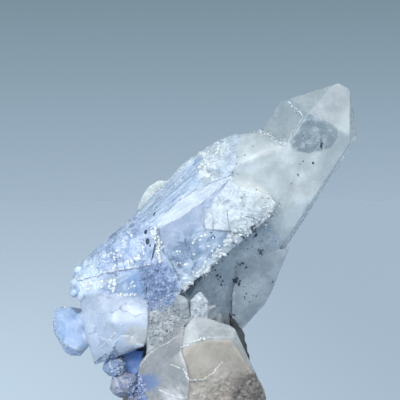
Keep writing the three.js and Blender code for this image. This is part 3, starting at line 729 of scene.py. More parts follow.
inclusionQuartz = {
    "pale": (0.56, 0.65, 0.7), "dark": (0.38, 0.45, 0.5), "blue": (0.28, 0.4, 0.64), "milk": 0.92,
    "broken": 0.1, "bump": 0.035, "bend": 3.0, "chipSize": 1.5, "crackSize": 1.9,
    "absorb": (0.78, 0.87, 0.92), "density": 30.0,
    "blueZones": [
        {"centre": (-10, 0, 33), "radii": (11, 14, 8), "strength": 0.7},
        {"centre": (-3, 0, 39), "radii": (7, 9, 7), "strength": 0.35},
    ],
    "zones": [
        zone("cloud", (0.47, 0.52, 0.54), (0.56, 0.63, 0.66), 0.8, [(3.8, 52.5), (9.8, 53.2), (23, 51.4),
             (19.4, 42), (15.9, 36.3), (10.8, 38.5), (4.4, 44.5)]),
        zone("cloud", (0.35, 0.405, 0.435), (0.43, 0.495, 0.53), 0.7, [(0.8, 47.1), (2.7, 51.4),
             (6.4, 53.4), (10, 53.3), (14.2, 50.6), (5.3, 46)]),
        zone("cloud", (0.35, 0.42, 0.46), (0.48, 0.55, 0.59), 0.25, [(14.4, 58.2), (20.8, 61.2),
             (24.4, 59.5), (25.6, 52), (17.1, 55.6)], milk=0.66),
        zone("mottled", (0.31, 0.385, 0.42), (0.43, 0.5, 0.545), 0.15, [(11.6, 57.6), (15.1, 58.4),
             (17.1, 55.7), (13.5, 50.4), (9.7, 52.9)], milk=0.7),
        zone("cloud", (0.38, 0.45, 0.48), (0.47, 0.54, 0.57), 0.9, [(21.9, 53.9), (24.1, 58.7),
             (25.6, 52), (20.6, 43.6), (17.4, 45.5)], milk=0.82),
        # A smoky dark window in the tip: painted reflection of the back faces.
        zone("smoky", (0.22, 0.28, 0.32), (0.49, 0.58, 0.63), 0.16, [(17.1, 55.6), (19, 55.1),
             (21.7, 53.6), (21.9, 51.8), (20.6, 50.2), (17.4, 49.4), (14.8, 49.8), (14.2, 51.2)],
             milk=0.72, strength=0.9),
        zone("cloud", (0.34, 0.41, 0.46), (0.46, 0.54, 0.58), 1.3, [(10.8, 39.4), (19.5, 42.4),
             (15.9, 36), (12.1, 30.1), (9.4, 32.2), (8.9, 36.9)], farY=6.0),
        zone("sugar", (0.46, 0.52, 0.54), (0.64, 0.72, 0.74), 0.2, [(-10.4, 40), (-10.2, 42.4),
             (-8.6, 44.8), (-6.4, 45.6), (-4.8, 45.6), (-9.4, 38.5)], farY=30.0),
        zone("broken", (0.31, 0.38, 0.45), (0.58, 0.69, 0.8), 0.3, [(-6.3, 42), (3.5, 53), (6.8, 53.3),
             (5.2, 46), (-5.7, 39.6)], broken=0.7),
        zone("sugar", (0.4, 0.47, 0.53), (0.72, 0.82, 0.9), 0.5, [(0.6, 48.9), (2.9, 51), (4.6, 51.2),
             (4.4, 49.4), (1.9, 46.4), (-0.2, 45.4)], broken=1.0, strength=0.85),
        zone("streaks", (0.2, 0.29, 0.44), (0.53, 0.64, 0.78), 0.35, [(-12.7, 36.3), (-10.3, 40.2),
             (-5.1, 45.3), (0.4, 49.6), (-0.3, 44.5), (-7.9, 37.2)], angle=44, broken=0.5),
        zone("mosaic", (0.24, 0.345, 0.52), (0.5, 0.6, 0.8), 0.25, [(-20.6, 30.6), (-17.1, 33.9),
             (-10.6, 40.1), (-7, 38), (-5.9, 32.2), (-17.8, 28.7), (-20.6, 28.7)], broken=1.0),
        zone("mosaic", (0.25, 0.35, 0.51), (0.42, 0.52, 0.68), 0.3, [(-16.5, 28.7), (-7.6, 31.4),
             (-5.4, 32.2), (-3.2, 30.1), (-3.2, 26.1), (-5.1, 23.3), (-13, 26), (-16.2, 27)], broken=0.8),
        zone("cloud", (0.22, 0.33, 0.55), (0.28, 0.4, 0.62), 0.6, [(-11.6, 30), (-9.4, 31.2),
             (-7.8, 31.2), (-7.6, 28), (-8.6, 26.2), (-11.4, 27)]),
        zone("sugar", (0.13, 0.2, 0.37), (0.35, 0.45, 0.66), 0.4, [(-9.6, 31.6), (-6.2, 32.6),
             (-4.4, 31.2), (-3.6, 28.4), (-4, 25.6), (-5.6, 23.4), (-7.7, 23.6), (-9, 27)], broken=1.0),
        zone("cloud", (0.25, 0.34, 0.48), (0.36, 0.42, 0.55), 0.25, [(-6.7, 37.2), (5.4, 46),
             (-0.4, 34.7), (-4.4, 33.7), (-6.3, 35)]),
        zone("shards", (0.2, 0.29, 0.42), (0.38, 0.48, 0.62), 0.5, [(-3.4, 36), (0.8, 38), (5.2, 36.8),
             (2.4, 33.2), (-1.4, 30.2), (-4.4, 31.6)], angle=52, broken=0.6),
        zone("mottled", (0.08, 0.14, 0.25), (0.26, 0.35, 0.48), 0.7, [(-4.8, 34.7), (-1.3, 35.7),
             (-1.6, 33.1), (-3.2, 31.5), (-5.1, 32.5)], broken=0.5),
        zone("streaks", (0.34, 0.41, 0.49), (0.47, 0.57, 0.7), 0.12, [(-7.1, 37.6), (-5.6, 40.1),
             (-2.5, 43), (-0.2, 44.4), (5.2, 46.1), (0.2, 41.7), (-3.6, 39)], angle=36, broken=0.15),
        zone("broken", (0.4, 0.47, 0.52), (0.62, 0.71, 0.82), 0.25, [(2.2, 42), (5.1, 45.6), (7, 42.8),
             (6.7, 36.9), (1, 37.2), (0.5, 38.7)], broken=1.0),
        zone("sugar", (0.43, 0.5, 0.54), (0.62, 0.71, 0.8), 0.2, [(6.2, 43.6), (12.1, 41.9), (10.8, 38.8),
             (7.9, 37.2), (6, 36.6)], broken=0.8),
        zone("cloud", (0.4, 0.47, 0.51), (0.5, 0.58, 0.64), 0.12, [(6.5, 42.6), (8.2, 43.2), (10.6, 42.2),
             (11, 40.4), (10.2, 39.6), (7.8, 39.3), (6.6, 40.4)]),
        zone("mottled", (0.3, 0.39, 0.47), (0.48, 0.57, 0.65), 0.5, [(-2.7, 27.7), (6.3, 36.5),
             (10.5, 38.7), (13.6, 35.7), (10.9, 25.5), (7.3, 21.4), (5.1, 20.1), (0.8, 22.6),
             (-2.5, 25.8)], milk=0.8, farY=14.0, broken=0.35),
        zone("mottled", (0.25, 0.33, 0.41), (0.44, 0.53, 0.62), 0.7, [(0, 28.4), (4.6, 30.4), (6, 27.7),
             (5.3, 20.4), (0.8, 23.3)], milk=0.82, farY=14.0, broken=0.3),
        zone("cloud", (0.23, 0.29, 0.345), (0.36, 0.43, 0.49), 0.6, [(5.6, 31), (9, 34), (14.8, 34.9),
             (12.2, 27.4), (7.4, 22.2), (5, 20)], milk=0.82, farY=20.0, broken=0.2),
        # A thin bright band along the right edge: painted highlight.
        zone("cloud", (0.44, 0.54, 0.58), (0.7, 0.8, 0.82), 0.1, [(24.4, 52.2), (25.6, 52), (16.2, 35.2),
             (15.4, 36.1), (18.9, 42.3)], farY=8.0),
        zone("sugar", (0.42, 0.55, 0.7), (0.62, 0.74, 0.9), 0.6, [(-20.8, 32.2), (-16.5, 33.1),
             (-16, 28.5), (-17.1, 25.8), (-20.3, 26.1), (-21.6, 28.5)], broken=0.8),
        zone("cloud", (0.37, 0.45, 0.57), (0.44, 0.52, 0.65), 0.7, [(-18.6, 26.8), (-15.9, 27.2),
             (-8.3, 26), (-7.5, 21.4), (-8.6, 19), (-16.8, 15.2), (-18.4, 19), (-19.9, 23.3)]),
        zone("cloud", (0.31, 0.385, 0.51), (0.38, 0.455, 0.585), 0.8, [(-19, 26.6), (-8.2, 27),
             (-7.8, 24.4), (-18.4, 24)], strength=0.8),
        zone("mottled", (0.35, 0.39, 0.45), (0.52, 0.56, 0.59), 0.25, [(-11.4, 21.7), (-10.5, 22.2),
             (-8, 21.7), (-8.3, 19.4), (-11.4, 19.1), (-12, 20.4)]),
        zone("cloud", (0.33, 0.39, 0.49), (0.4, 0.47, 0.59), 0.15, [(-14.9, 22.8), (-12.4, 22.3),
             (-14.1, 18.8), (-16.3, 18.3)]),
        zone("mottled", (0.28, 0.41, 0.63), (0.41, 0.52, 0.72), 0.3, [(-23.9, 25.6), (-20.3, 25.6),
             (-18.7, 23), (-18.1, 18.2), (-21.3, 19), (-24, 20.7)], broken=0.4),
        zone("mottled", (0.28, 0.37, 0.57), (0.41, 0.52, 0.74), 0.2, [(-22.5, 20), (-21.3, 19.3),
             (-18.2, 18.2), (-18.8, 16), (-22, 16.8)]),
    ],
    # Painted shadows: darker blobs where shade falls.
    "paintedShadows": [
        {"centre": (19.3, -5, 50.9), "radii": (0.3, 6, 1.1), "tone": (0.1, 0.14, 0.18), "strength": 0.6},
        {"centre": (15.8, -5, 51.9), "radii": (0.9, 6, 0.6), "tone": (0.2, 0.26, 0.3), "strength": 0.55},
        {"centre": (17.6, -5, 54.2), "radii": (1.0, 6, 0.5), "tone": (0.22, 0.28, 0.33), "strength": 0.5},
        {"centre": (21, -5, 56.6), "radii": (1.3, 6, 0.6), "tone": (0.3, 0.36, 0.42), "strength": 0.5},
        {"centre": (8.7, -7, 37.4), "radii": (0.75, 5, 0.8), "tone": (0.14, 0.19, 0.24), "strength": 0.7},
        {"centre": (5.7, -7, 29.1), "radii": (0.9, 6, 0.7), "tone": (0.1, 0.14, 0.2), "strength": 0.55},
        {"centre": (-1, -7, 28.2), "radii": (1.6, 4, 0.9), "tone": (0.16, 0.19, 0.22), "strength": 0.6},
        {"centre": (2.8, -7, 30.4), "radii": (1.4, 4, 0.9), "tone": (0.16, 0.2, 0.25), "strength": 0.5},
    ],
    "specks": [
        {"centre": (6, 0, 29), "radii": (6.5, 9, 8), "spacing": 0.7, "size": 0.12, "share": 0.22,
         "tone": (0.08, 0.11, 0.15)},
        {"centre": (18.5, -3, 51.5), "radii": (4, 9, 4), "spacing": 0.7, "size": 0.12, "share": 0.2,
         "tone": (0.12, 0.16, 0.2)},
    ],
}
foregroundQuartz = {
    "pale": (0.42, 0.46, 0.48), "dark": (0.3, 0.33, 0.35), "blue": (0.3, 0.45, 0.72), "milk": 0.88,
    "broken": 0.2, "bump": 0.04, "bend": 1.2, "chipSize": 1.4, "crackSize": 3.2,
    "absorb": (0.8, 0.84, 0.86), "density": 60.0,
    "blueZones": [],
    "zones": [
        zone("cloud", (0.38, 0.42, 0.45), (0.43, 0.465, 0.49), 0.2, [(-4.5, 24.5), (6.4, 24.5),
             (6.4, 19.8), (-0.4, 19.6), (-2.2, 19.3), (-4, 18)]),
        zone("cloud", (0.44, 0.48, 0.5), (0.52, 0.56, 0.59), 0.15, [(-0.8, 23.6), (-0.2, 20.3),
             (-3.6, 18.9), (-3.2, 21)]),
        zone("cloud", (0.33, 0.315, 0.28), (0.39, 0.37, 0.345), 0.15, [(-3, 18.7), (0.8, 20), (4.9, 20.1),
             (6.4, 18.4), (12, 8), (12, -2), (-4.4, -2), (-3.4, 13)], farY=30.0),
        zone("sugar", (0.22, 0.2, 0.175), (0.37, 0.345, 0.315), 0.5, [(-4.4, 9.6), (3, 13.4), (5.2, 16.6),
             (8.6, 14.8), (13, 6), (13, -2), (-5, -2)], farY=30.0, broken=0.5),
        # The darkest zone, at the lower right of the foot: painted shade.
        zone("sugar", (0.075, 0.07, 0.065), (0.21, 0.2, 0.185), 0.5, [(5.2, 12.6), (7.4, 15), (9, 14.6),
             (13, 6), (13, -2), (3.6, -2)], farY=30.0, broken=0.6),
    ],
    "paintedShadows": [],
    "specks": [
        {"centre": (3, -9, 9), "radii": (9, 9, 7), "spacing": 1.1, "size": 0.12, "share": 0.25,
         "tone": (0.06, 0.05, 0.05)},
    ],
}
paleQuartz = {
    "pale": (0.37, 0.385, 0.4), "dark": (0.27, 0.295, 0.31), "blue": (0.12, 0.21, 0.46), "milk": 0.84,
    "broken": 0.1, "bump": 0.03, "bend": 1.5, "chipSize": 1.4, "crackSize": 3.2,
    "absorb": (0.78, 0.84, 0.88), "density": 60.0,
    "blueZones": [
        {"centre": (-8.2, -11, 13.5), "radii": (2.0, 5, 1.2), "strength": 0.9},
        {"centre": (-9.6, -10, 11), "radii": (0.9, 4, 3), "strength": 0.7},
    ],
    "zones": [
        zone("cloud", (0.26, 0.28, 0.3), (0.33, 0.35, 0.38), 0.25, [(-9.8, 16), (-4, 20.4), (-3, 18.6),
             (-5, 15.6), (-9.6, 14.6)], milk=0.84),
        zone("cloud", (0.44, 0.45, 0.49), (0.56, 0.57, 0.6), 0.35, [(-6.6, 12.6), (-3.4, 12.2),
             (-1.4, 9.4), (-5.6, 10.2)]),
    ],
    "paintedShadows": [],
    "specks": [
        {"centre": (-5, -12, 12), "radii": (6, 9, 6), "spacing": 1.0, "size": 0.1, "share": 0.2,
         "tone": (0.1, 0.12, 0.16)},
    ],
}
plainRock = {
    "speckSpacing": 0.7, "speckSize": 0.15, "speckShare": 0.2, "roughness": 0.45,
    "cloudSize": 3.0, "bump": 0.12, "soft": 0.25,
}
tanRock = {
    **plainRock, "pale": (0.33, 0.31, 0.29), "dark": (0.12, 0.11, 0.1), "glint": (0.44, 0.42, 0.4),
    "speck": (0.05, 0.04, 0.04), "speckSpacing": 0.9, "speckSize": 0.2, "roughness": 0.5,
}
granularRock = {
    **plainRock, "pale": (0.35, 0.39, 0.425), "dark": (0.24, 0.28, 0.315), "glint": (0.44, 0.48, 0.5),
    "speck": (0.03, 0.035, 0.04), "speckSpacing": 0.6, "speckSize": 0.13, "cloudSize": 1.2,
}
darkRock = {
    **plainRock, "pale": (0.045, 0.052, 0.055), "dark": (0.012, 0.014, 0.015),
    "glint": (0.09, 0.1, 0.105), "speck": (0.01, 0.01, 0.01), "speckSpacing": 0.8, "speckSize": 0.25,
    "speckShare": 0.4, "roughness": 0.7,
}
deepBlue = {
    **plainRock, "pale": (0.24, 0.42, 0.86), "dark": (0.12, 0.32, 0.92), "glint": (0.34, 0.48, 0.82),
    "speck": (0.03, 0.07, 0.3), "speckSpacing": 0.8, "speckSize": 0.2, "speckShare": 0.15,
    "roughness": 0.35, "cloudSize": 2.0,
}
pinkishRock = {
    **plainRock, "pale": (0.42, 0.45, 0.5), "dark": (0.14, 0.16, 0.31), "glint": (0.56, 0.56, 0.6),
    "speck": (0.1, 0.1, 0.2), "cloudSize": 1.0,
}
greyRock = {
    **plainRock, "pale": (0.33, 0.4, 0.52), "dark": (0.15, 0.24, 0.42), "glint": (0.48, 0.56, 0.68),
    "speck": (0.05, 0.07, 0.14), "roughness": 0.4, "cloudSize": 1.0,
}
twinGrey = {
    **plainRock, "pale": (0.29, 0.33, 0.36), "dark": (0.2, 0.235, 0.27), "glint": (0.4, 0.44, 0.46),
    "speck": (0.1, 0.12, 0.14), "speckSize": 0.12, "speckShare": 0.15, "cloudSize": 1.2, "bump": 0.06,
}
twinWhite = {
    **plainRock, "pale": (0.52, 0.57, 0.62), "dark": (0.22, 0.265, 0.305), "glint": (0.72, 0.76, 0.8),
    "speck": (0.08, 0.1, 0.13), "speckSpacing": 0.6, "speckSize": 0.14, "speckShare": 0.3,
    "cloudSize": 0.6, "bump": 0.08,
}
sugar = {
    **plainRock, "pale": (0.64, 0.71, 0.76), "dark": (0.42, 0.49, 0.55), "glint": (0.78, 0.83, 0.86),
    "speck": (0.1, 0.12, 0.18), "speckSpacing": 1.2, "speckShare": 0.1, "roughness": 0.35,
    "cloudSize": 0.6, "bump": 0.03,
}
blueSugar = {
    **plainRock, "pale": (0.32, 0.43, 0.64), "dark": (0.15, 0.23, 0.39), "glint": (0.5, 0.6, 0.78),
    "speck": (0.04, 0.06, 0.2), "speckSpacing": 1.2, "speckShare": 0.1, "roughness": 0.3,
    "cloudSize": 0.6, "bump": 0.03,
}
purpleSugar = {
    **plainRock, "pale": (0.33, 0.41, 0.62), "dark": (0.19, 0.25, 0.44), "glint": (0.66, 0.72, 0.86),
    "speck": (0.04, 0.05, 0.2), "speckSpacing": 1.2, "speckShare": 0.1, "roughness": 0.25,
    "cloudSize": 0.5, "bump": 0.03,
}
# A near-black finish for the dark mineral specks, also used for the painted shadow beads along the seam.
darkSpeckAndShadow = {
    **plainRock, "pale": (0.016, 0.035, 0.08), "dark": (0.004, 0.012, 0.03), "glint": (0.03, 0.055, 0.11),
    "speck": (0.0, 0.01, 0.03), "speckSpacing": 0.4, "speckSize": 0.1, "speckShare": 0.3,
    "roughness": 0.5, "cloudSize": 0.3, "bump": 0.02, "soft": 0.0,
}
# A near-white finish: partly the white of fractures, partly painted glints and highlights on edges.
whiteFractureAndHighlight = {
    **plainRock, "pale": (0.8, 0.86, 0.86), "dark": (0.56, 0.63, 0.66), "glint": (0.88, 0.92, 0.92),
    "speck": (0.2, 0.24, 0.3), "speckSpacing": 1.2, "speckSize": 0.12, "speckShare": 0.15,
    "roughness": 0.35, "cloudSize": 0.6, "bump": 0.03,
}
crackShade = {
    **plainRock, "pale": (0.13, 0.17, 0.23), "dark": (0.07, 0.1, 0.15), "glint": (0.2, 0.25, 0.31),
    "speck": (0.03, 0.04, 0.06), "speckSpacing": 0.6, "speckSize": 0.1, "roughness": 0.5,
    "cloudSize": 0.5, "bump": 0.02, "soft": 0.0,
}

granular = rockMaterial("granularRock", granularRock)
blocky = {"longest": 0.6, "fine": 0.35, "bevel": 0.22, "wave": 0.06, "waveSize": 2.0, "zones": [
    {"kind": "rough", "centre": (5, -10, 6), "radii": (12, 12, 9), "depth": 0.3, "size": 1.0}]}
rough = {"longest": 0.45, "fine": 0.45, "bevel": 0.15, "wave": 0.28, "waveSize": 1.1, "zones": []}

carriers = [
    makeQuartzBody(crystalMaterial("inclusionQuartz", inclusionQuartz)),
    makeFootRock(rockMaterial("tanRock", tanRock)),
    makeBlock("cappedCrystal", cappedCrystal, blocky,
              crystalMaterial("foregroundQuartz", foregroundQuartz)),
    makeBlock("paleNeighbour", paleNeighbour, blocky,
              crystalMaterial("paleQuartz", paleQuartz)),
    makeBlock("granularSeam", granularSeam, rough, granular),
    makeBlock("darkSliver", darkSliver, rough, rockMaterial("darkRock", darkRock)),
    makeBlock("bluePocket", bluePocket, rough, rockMaterial("deepBlue", deepBlue)),
]
for spec, look in zip(lumps, (greyRock, pinkishRock)):
    material = rockMaterial(spec["name"] + "Rock", look)
    carriers.append(finished(spec["name"], rockFrom(spec), material, 40.0))
carriers += makeTwinPoints((rockMaterial("twinGrey", twinGrey), rockMaterial("twinWhite", twinWhite)))
bpy.context.view_layer.update()


# Small things sit on the surface that a level line of sight meets, from the front or from behind.
sight = {"distance": 600.0, "height": 42.0, "reach": 700.0}
surfaces = [BVHTree.FromObject(made, bpy.context.evaluated_depsgraph_get()) for made in carriers]


def surfaceAt(x, z, side="front"):
    away = -sight["distance"] if side == "front" else sight["distance"]
    start = Vector((0.0, away, sight["height"])) * mm
    aim = (Vector((x, 0.0, z)) * mm - start).normalized()
    best = None
    for tree in surfaces:
        place, normal, _, distance = tree.ray_cast(start, aim, sight["reach"] * mm)
        if place is not None and (best is None or distance < best[2]):
            best = (place, normal, distance)
    return best


# One tiny crystal, chip or bead, about one unit across.
def tinyShape(kind, draw):
    mesh = bmesh.new()
    if kind == "point":
        bmesh.ops.create_cone(mesh, cap_ends=True, segments=6, radius1=0.42, radius2=0.5, depth=1.0)
        top = max(mesh.faces, key=lambda face: face.calc_center_median().z)
        tip = bmesh.ops.poke(mesh, faces=[top])["verts"][0]
        tip.co += Vector((draw.uniform(-0.2, 0.2), draw.uniform(-0.2, 0.2), 0.6))
    elif kind == "chip":
        bmesh.ops.create_icosphere(mesh, subdivisions=1, radius=0.5)
        for vert in mesh.verts:
            vert.co *= draw.uniform(0.55, 1.35)
        bmesh.ops.convex_hull(mesh, input=mesh.verts[:])
        bmesh.ops.delete(mesh, geom=[vert for vert in mesh.verts if not vert.link_faces], context="VERTS")
    else:
        bmesh.ops.create_icosphere(mesh, subdivisions=2, radius=0.5)
        for vert in mesh.verts:
            vert.co *= draw.uniform(0.86, 1.1)
    bmesh.ops.recalc_face_normals(mesh, faces=mesh.faces[:])
    data = bpy.data.meshes.new(kind)
    mesh.to_mesh(data)
    mesh.free()
    return data


def insideArea(corners, x, z):
    inside = False
    for (x0, z0), (x1, z1) in zip(corners, corners[1:] + corners[:1]):
        if (z0 > z) != (z1 > z) and x < x0 + (x1 - x0) * (z - z0) / (z1 - z0):
            inside = not inside
    return inside


# An (x, z) place along a path, give or take `spread`, or anywhere in an area.
def placeIn(spec, share, draw):
    if "area" in spec:
        across, up = zip(*spec["area"])
        while True:
            x, z = draw.uniform(min(across), max(across)), draw.uniform(min(up), max(up))
            if insideArea(spec["area"], x, z):
                return x, z
    path = spec["path"]
    along = share * (len(path) - 1)
    step = min(int(along), len(path) - 2)
    part = along - step
    x = path[step][0] * (1 - part) + path[step + 1][0] * part + draw.gauss(0, spec["spread"] / 2)
    z = path[step][1] * (1 - part) + path[step + 1][1] * part + draw.gauss(0, spec["spread"] / 2)
    return x, z


def stamp(mesh, data, moved):
    data.transform(moved)
    mesh.from_mesh(data)
    data.transform(moved.inverted())


# Many tiny shapes set on the surface, as one piece.
def makeCrust(changes, material):
    spec = {**plainCrust, **changes}
    draw = random.Random(spec["seed"])
    shapes = [tinyShape(spec["kind"], draw) for _ in range(6)]
    mesh = bmesh.new()
    for number in range(spec["count"]):
        x, z = placeIn(spec, (number + draw.random()) / spec["count"], draw)
        size = draw.uniform(0.5, 1.1) if draw.random() < 0.75 else draw.uniform(1.1, 1.9)
        width = spec["width"] * size * mm
        length = spec["length"] * size * mm * draw.uniform(0.7, 1.4)
        stray = Vector((draw.uniform(-1, 1), draw.uniform(-1, 1), draw.uniform(-1, 1))) * spec["stray"]
        turn = draw.uniform(0.0, math.tau)
        found = surfaceAt(x, z, spec["side"])
        patch = noise.noise(Vector((x, spec["seed"], z)) / 1.3)
        if found is None or patch < spec["patchy"]:
            continue
        place, normal, _ = found
        direction = (normal + Vector(spec["lean"]) + stray).normalized()
        facing = direction.to_track_quat("Z", "Y").to_matrix().to_4x4()
        sized = Matrix.Diagonal((width, width * draw.uniform(0.6, 1.0), length, 1.0))
        lifted = Matrix.Translation(place + direction * length * spec["lift"])
        moved = lifted @ facing @ Matrix.Rotation(turn, 4, "Z") @ sized
        stamp(mesh, shapes[number % len(shapes)], moved)
    bmesh.ops.recalc_face_normals(mesh, faces=mesh.faces[:])
    return finished(spec["name"], mesh, material, 20.0)


toSeam = (0.4, -0.5, -0.3)
plainCrust = {
    "kind": "chip", "lean": (0.0, 0.0, 0.0), "stray": 0.7, "lift": 0.15, "patchy": -1.0, "side": "front",
    "slot": "milky_quartz",
}
crusts = {
    # White flakes and chips: partly white fractures, partly painted glints and edge highlights.
    "whiteFractureAndHighlight": [
        {"name": "streakCrust", "path": [(-7.7, 37.6), (-7, 35.6), (-6.6, 33.6), (-6.3, 32)],
         "count": 110, "spread": 0.5, "patchy": -0.2, "width": 0.26, "length": 0.2, "seed": 18},
        {"name": "topFractures", "path": [(-0.4, 45.6), (0.8, 47.2), (1.8, 48.8), (3.4, 50.6)],
         "count": 120, "spread": 1.3, "patchy": 0.0, "width": 0.55, "length": 0.14, "stray": 0.3,
         "lift": 0.0, "seed": 81},
        {"name": "edgeFlakes", "path": [(-10, 40), (-5.6, 44.4), (-2.8, 47.2), (2.4, 50.9)], "count": 90,
         "spread": 0.5, "patchy": 0.0, "width": 0.42, "length": 0.12, "stray": 0.3, "lift": 0.0,
         "seed": 83},
        {"name": "endFlakes", "area": [(-19.8, 30.8), (-16.4, 33.8), (-10.6, 38.8), (-8.4, 33.4),
         (-11, 31), (-18.6, 29.2)], "count": 230, "patchy": 0.08, "width": 0.42, "length": 0.1,
         "stray": 0.25, "lift": 0.0, "seed": 87, "slot": "blue_quartz"},
        {"name": "cavityFlakes", "area": [(-19.6, 28.8), (-15.6, 29.2), (-10.4, 30), (-9.8, 26.8),
         (-15, 26.6), (-19, 26.6)], "count": 170, "patchy": 0.05, "width": 0.45, "length": 0.12,
         "stray": 0.3, "lift": 0.0, "seed": 89, "slot": "blue_quartz"},
        {"name": "shardFlakes", "area": [(-4, 33.6), (-1.6, 36), (3.4, 37), (3.2, 34.6), (-0.4, 30.6),
         (-3.6, 30)], "count": 80, "patchy": 0.1, "width": 0.4, "length": 0.1, "stray": 0.25, "lift": 0.0,
         "seed": 91, "slot": "blue_quartz"},
    ],
    "sugar": [
        {"name": "upperSeamCrust", "path": [(11.4, 41.4), (10.8, 39.6), (8.4, 38.3), (6.2, 37.2)],
         "count": 190, "spread": 1.5, "patchy": -0.2, "width": 0.34, "length": 0.3, "lean": toSeam,
         "stray": 0.9, "seed": 3},
        {"name": "lowerSeamCrust", "path": [(6.2, 37.2), (4.8, 35.8), (2.6, 32.9), (0.6, 30.8),
         (-1, 29.2), (-2.9, 27.6)], "count": 330, "spread": 0.75, "patchy": -0.1, "width": 0.5,
         "length": 0.42, "lean": toSeam, "stray": 0.9, "seed": 17},
        {"name": "veinCrust", "path": [(-5.4, 26.4), (-6.2, 26), (-6.4, 25), (-6.8, 24.3), (-7.3, 24.1)],
         "count": 34, "spread": 0.16, "width": 0.22, "length": 0.2, "seed": 13},
        {"name": "rimCrust", "path": [(6.2, 53.1), (9.6, 53), (10.9, 52.5), (12.2, 51.3), (13.8, 50.8)],
         "count": 130, "spread": 0.4, "width": 0.24, "length": 0.24, "stray": 0.9, "seed": 19},
        {"name": "endSparkle", "area": [(-22, 25.6), (-20.8, 25.6), (-20.8, 24.8), (-21.8, 24.7)],
         "count": 26, "width": 0.4, "length": 0.4, "stray": 0.9, "seed": 23},
        {"name": "knobFringe", "path": [(-22.2, 24.9), (-23.3, 24), (-23.5, 21.4), (-22.2, 19.3),
         (-20.2, 18.4)], "count": 70, "spread": 0.35, "width": 0.2, "length": 0.2, "stray": 0.9,
         "seed": 29, "slot": "blue_quartz"},
        {"name": "twinGrains", "area": [(-1.3, 26.4), (-0.2, 27.7), (0.8, 27.2), (1.1, 25.7), (0.5, 23.9),
         (-1.2, 23.4)], "count": 120, "width": 0.22, "length": 0.2, "seed": 31},
    ],
    "blueSugar": [
        {"name": "darkBlueDruse", "area": [(-10, 31.6), (-8, 32), (-6.2, 31.4), (-4.3, 28.4), (-4.1, 26),
         (-5.4, 24), (-7.7, 23.3), (-8.6, 26), (-9.4, 28.4)], "count": 420, "patchy": -0.1, "width": 0.3,
         "length": 0.3, "stray": 0.8, "seed": 37, "slot": "blue_quartz"},
    ],
    "purpleSugar": [
        {"name": "pocketDruse", "area": [(-11.4, 13.4), (-9.3, 14.2), (-8.4, 11.6), (-8.6, 9),
         (-11.2, 9)], "count": 170, "width": 0.42, "length": 0.4, "lean": (0.0, -0.4, -0.2), "stray": 0.8,
         "seed": 41, "slot": "blue_quartz"},
    ],
    "greyRock": [
        {"name": "lumpDruse", "area": [(-13.9, 13.6), (-12, 14.4), (-10.4, 13.6), (-10.6, 11),
         (-13, 10.4)], "count": 60, "width": 0.34, "length": 0.3, "seed": 43},
        {"name": "noduleGrains", "area": [(-15.4, 16.4), (-14, 17.4), (-12.2, 16.8), (-11.8, 14.6),
         (-13.6, 13.8)], "count": 110, "kind": "bead", "width": 0.55, "length": 0.45, "stray": 0.4,
         "lift": 0.0, "seed": 47},
    ],
    "granularRock": [
        {"name": "stripGrains", "area": [(-8.4, 24), (-5.5, 25.4), (-2.6, 24.2), (-1.3, 22.6),
         (-5.4, 19.3), (-8.2, 18.4)], "count": 330, "width": 0.34, "length": 0.3, "seed": 53},
        {"name": "backDruse", "side": "behind", "area": [(-9, 6), (-9, 22), (6, 22), (8, 6)],
         "count": 420, "patchy": 0.0, "kind": "point", "width": 0.7, "length": 0.9, "stray": 0.6,
         "seed": 59},
    ],
    "darkSpeckAndShadow": [
        {"name": "stripSpecks", "area": [(-8.4, 24), (-5.5, 25), (-2.6, 24.2), (-1.3, 22.6), (-5.4, 19.3),
         (-8.2, 19)], "count": 46, "width": 0.16, "length": 0.14, "stray": 0.4, "seed": 61},
        # seamShadows: dark beads along the seam, painted shadow.
        {"name": "seamShadows", "path": [(5.8, 35.4), (3.4, 32.6), (1.2, 30.2), (-0.8, 28.4),
         (-2.4, 27.2)], "count": 60, "spread": 0.7, "patchy": 0.0, "width": 0.2, "length": 0.14,
         "stray": 0.4, "seed": 67},
    ],
}
crustFinishes = {
    "whiteFractureAndHighlight": whiteFractureAndHighlight, "sugar": sugar, "blueSugar": blueSugar, "purpleSugar": purpleSugar,
    "greyRock": greyRock, "darkSpeckAndShadow": darkSpeckAndShadow,
}
for look, specs in crusts.items():
    material = granular if look == "granularRock" else rockMaterial(look + "Grains", crustFinishes[look])
    for spec in specs:
        carriers.append(makeCrust(spec, material))
surfaces = [BVHTree.FromObject(made, bpy.context.evaluated_depsgraph_get()) for made in carriers]
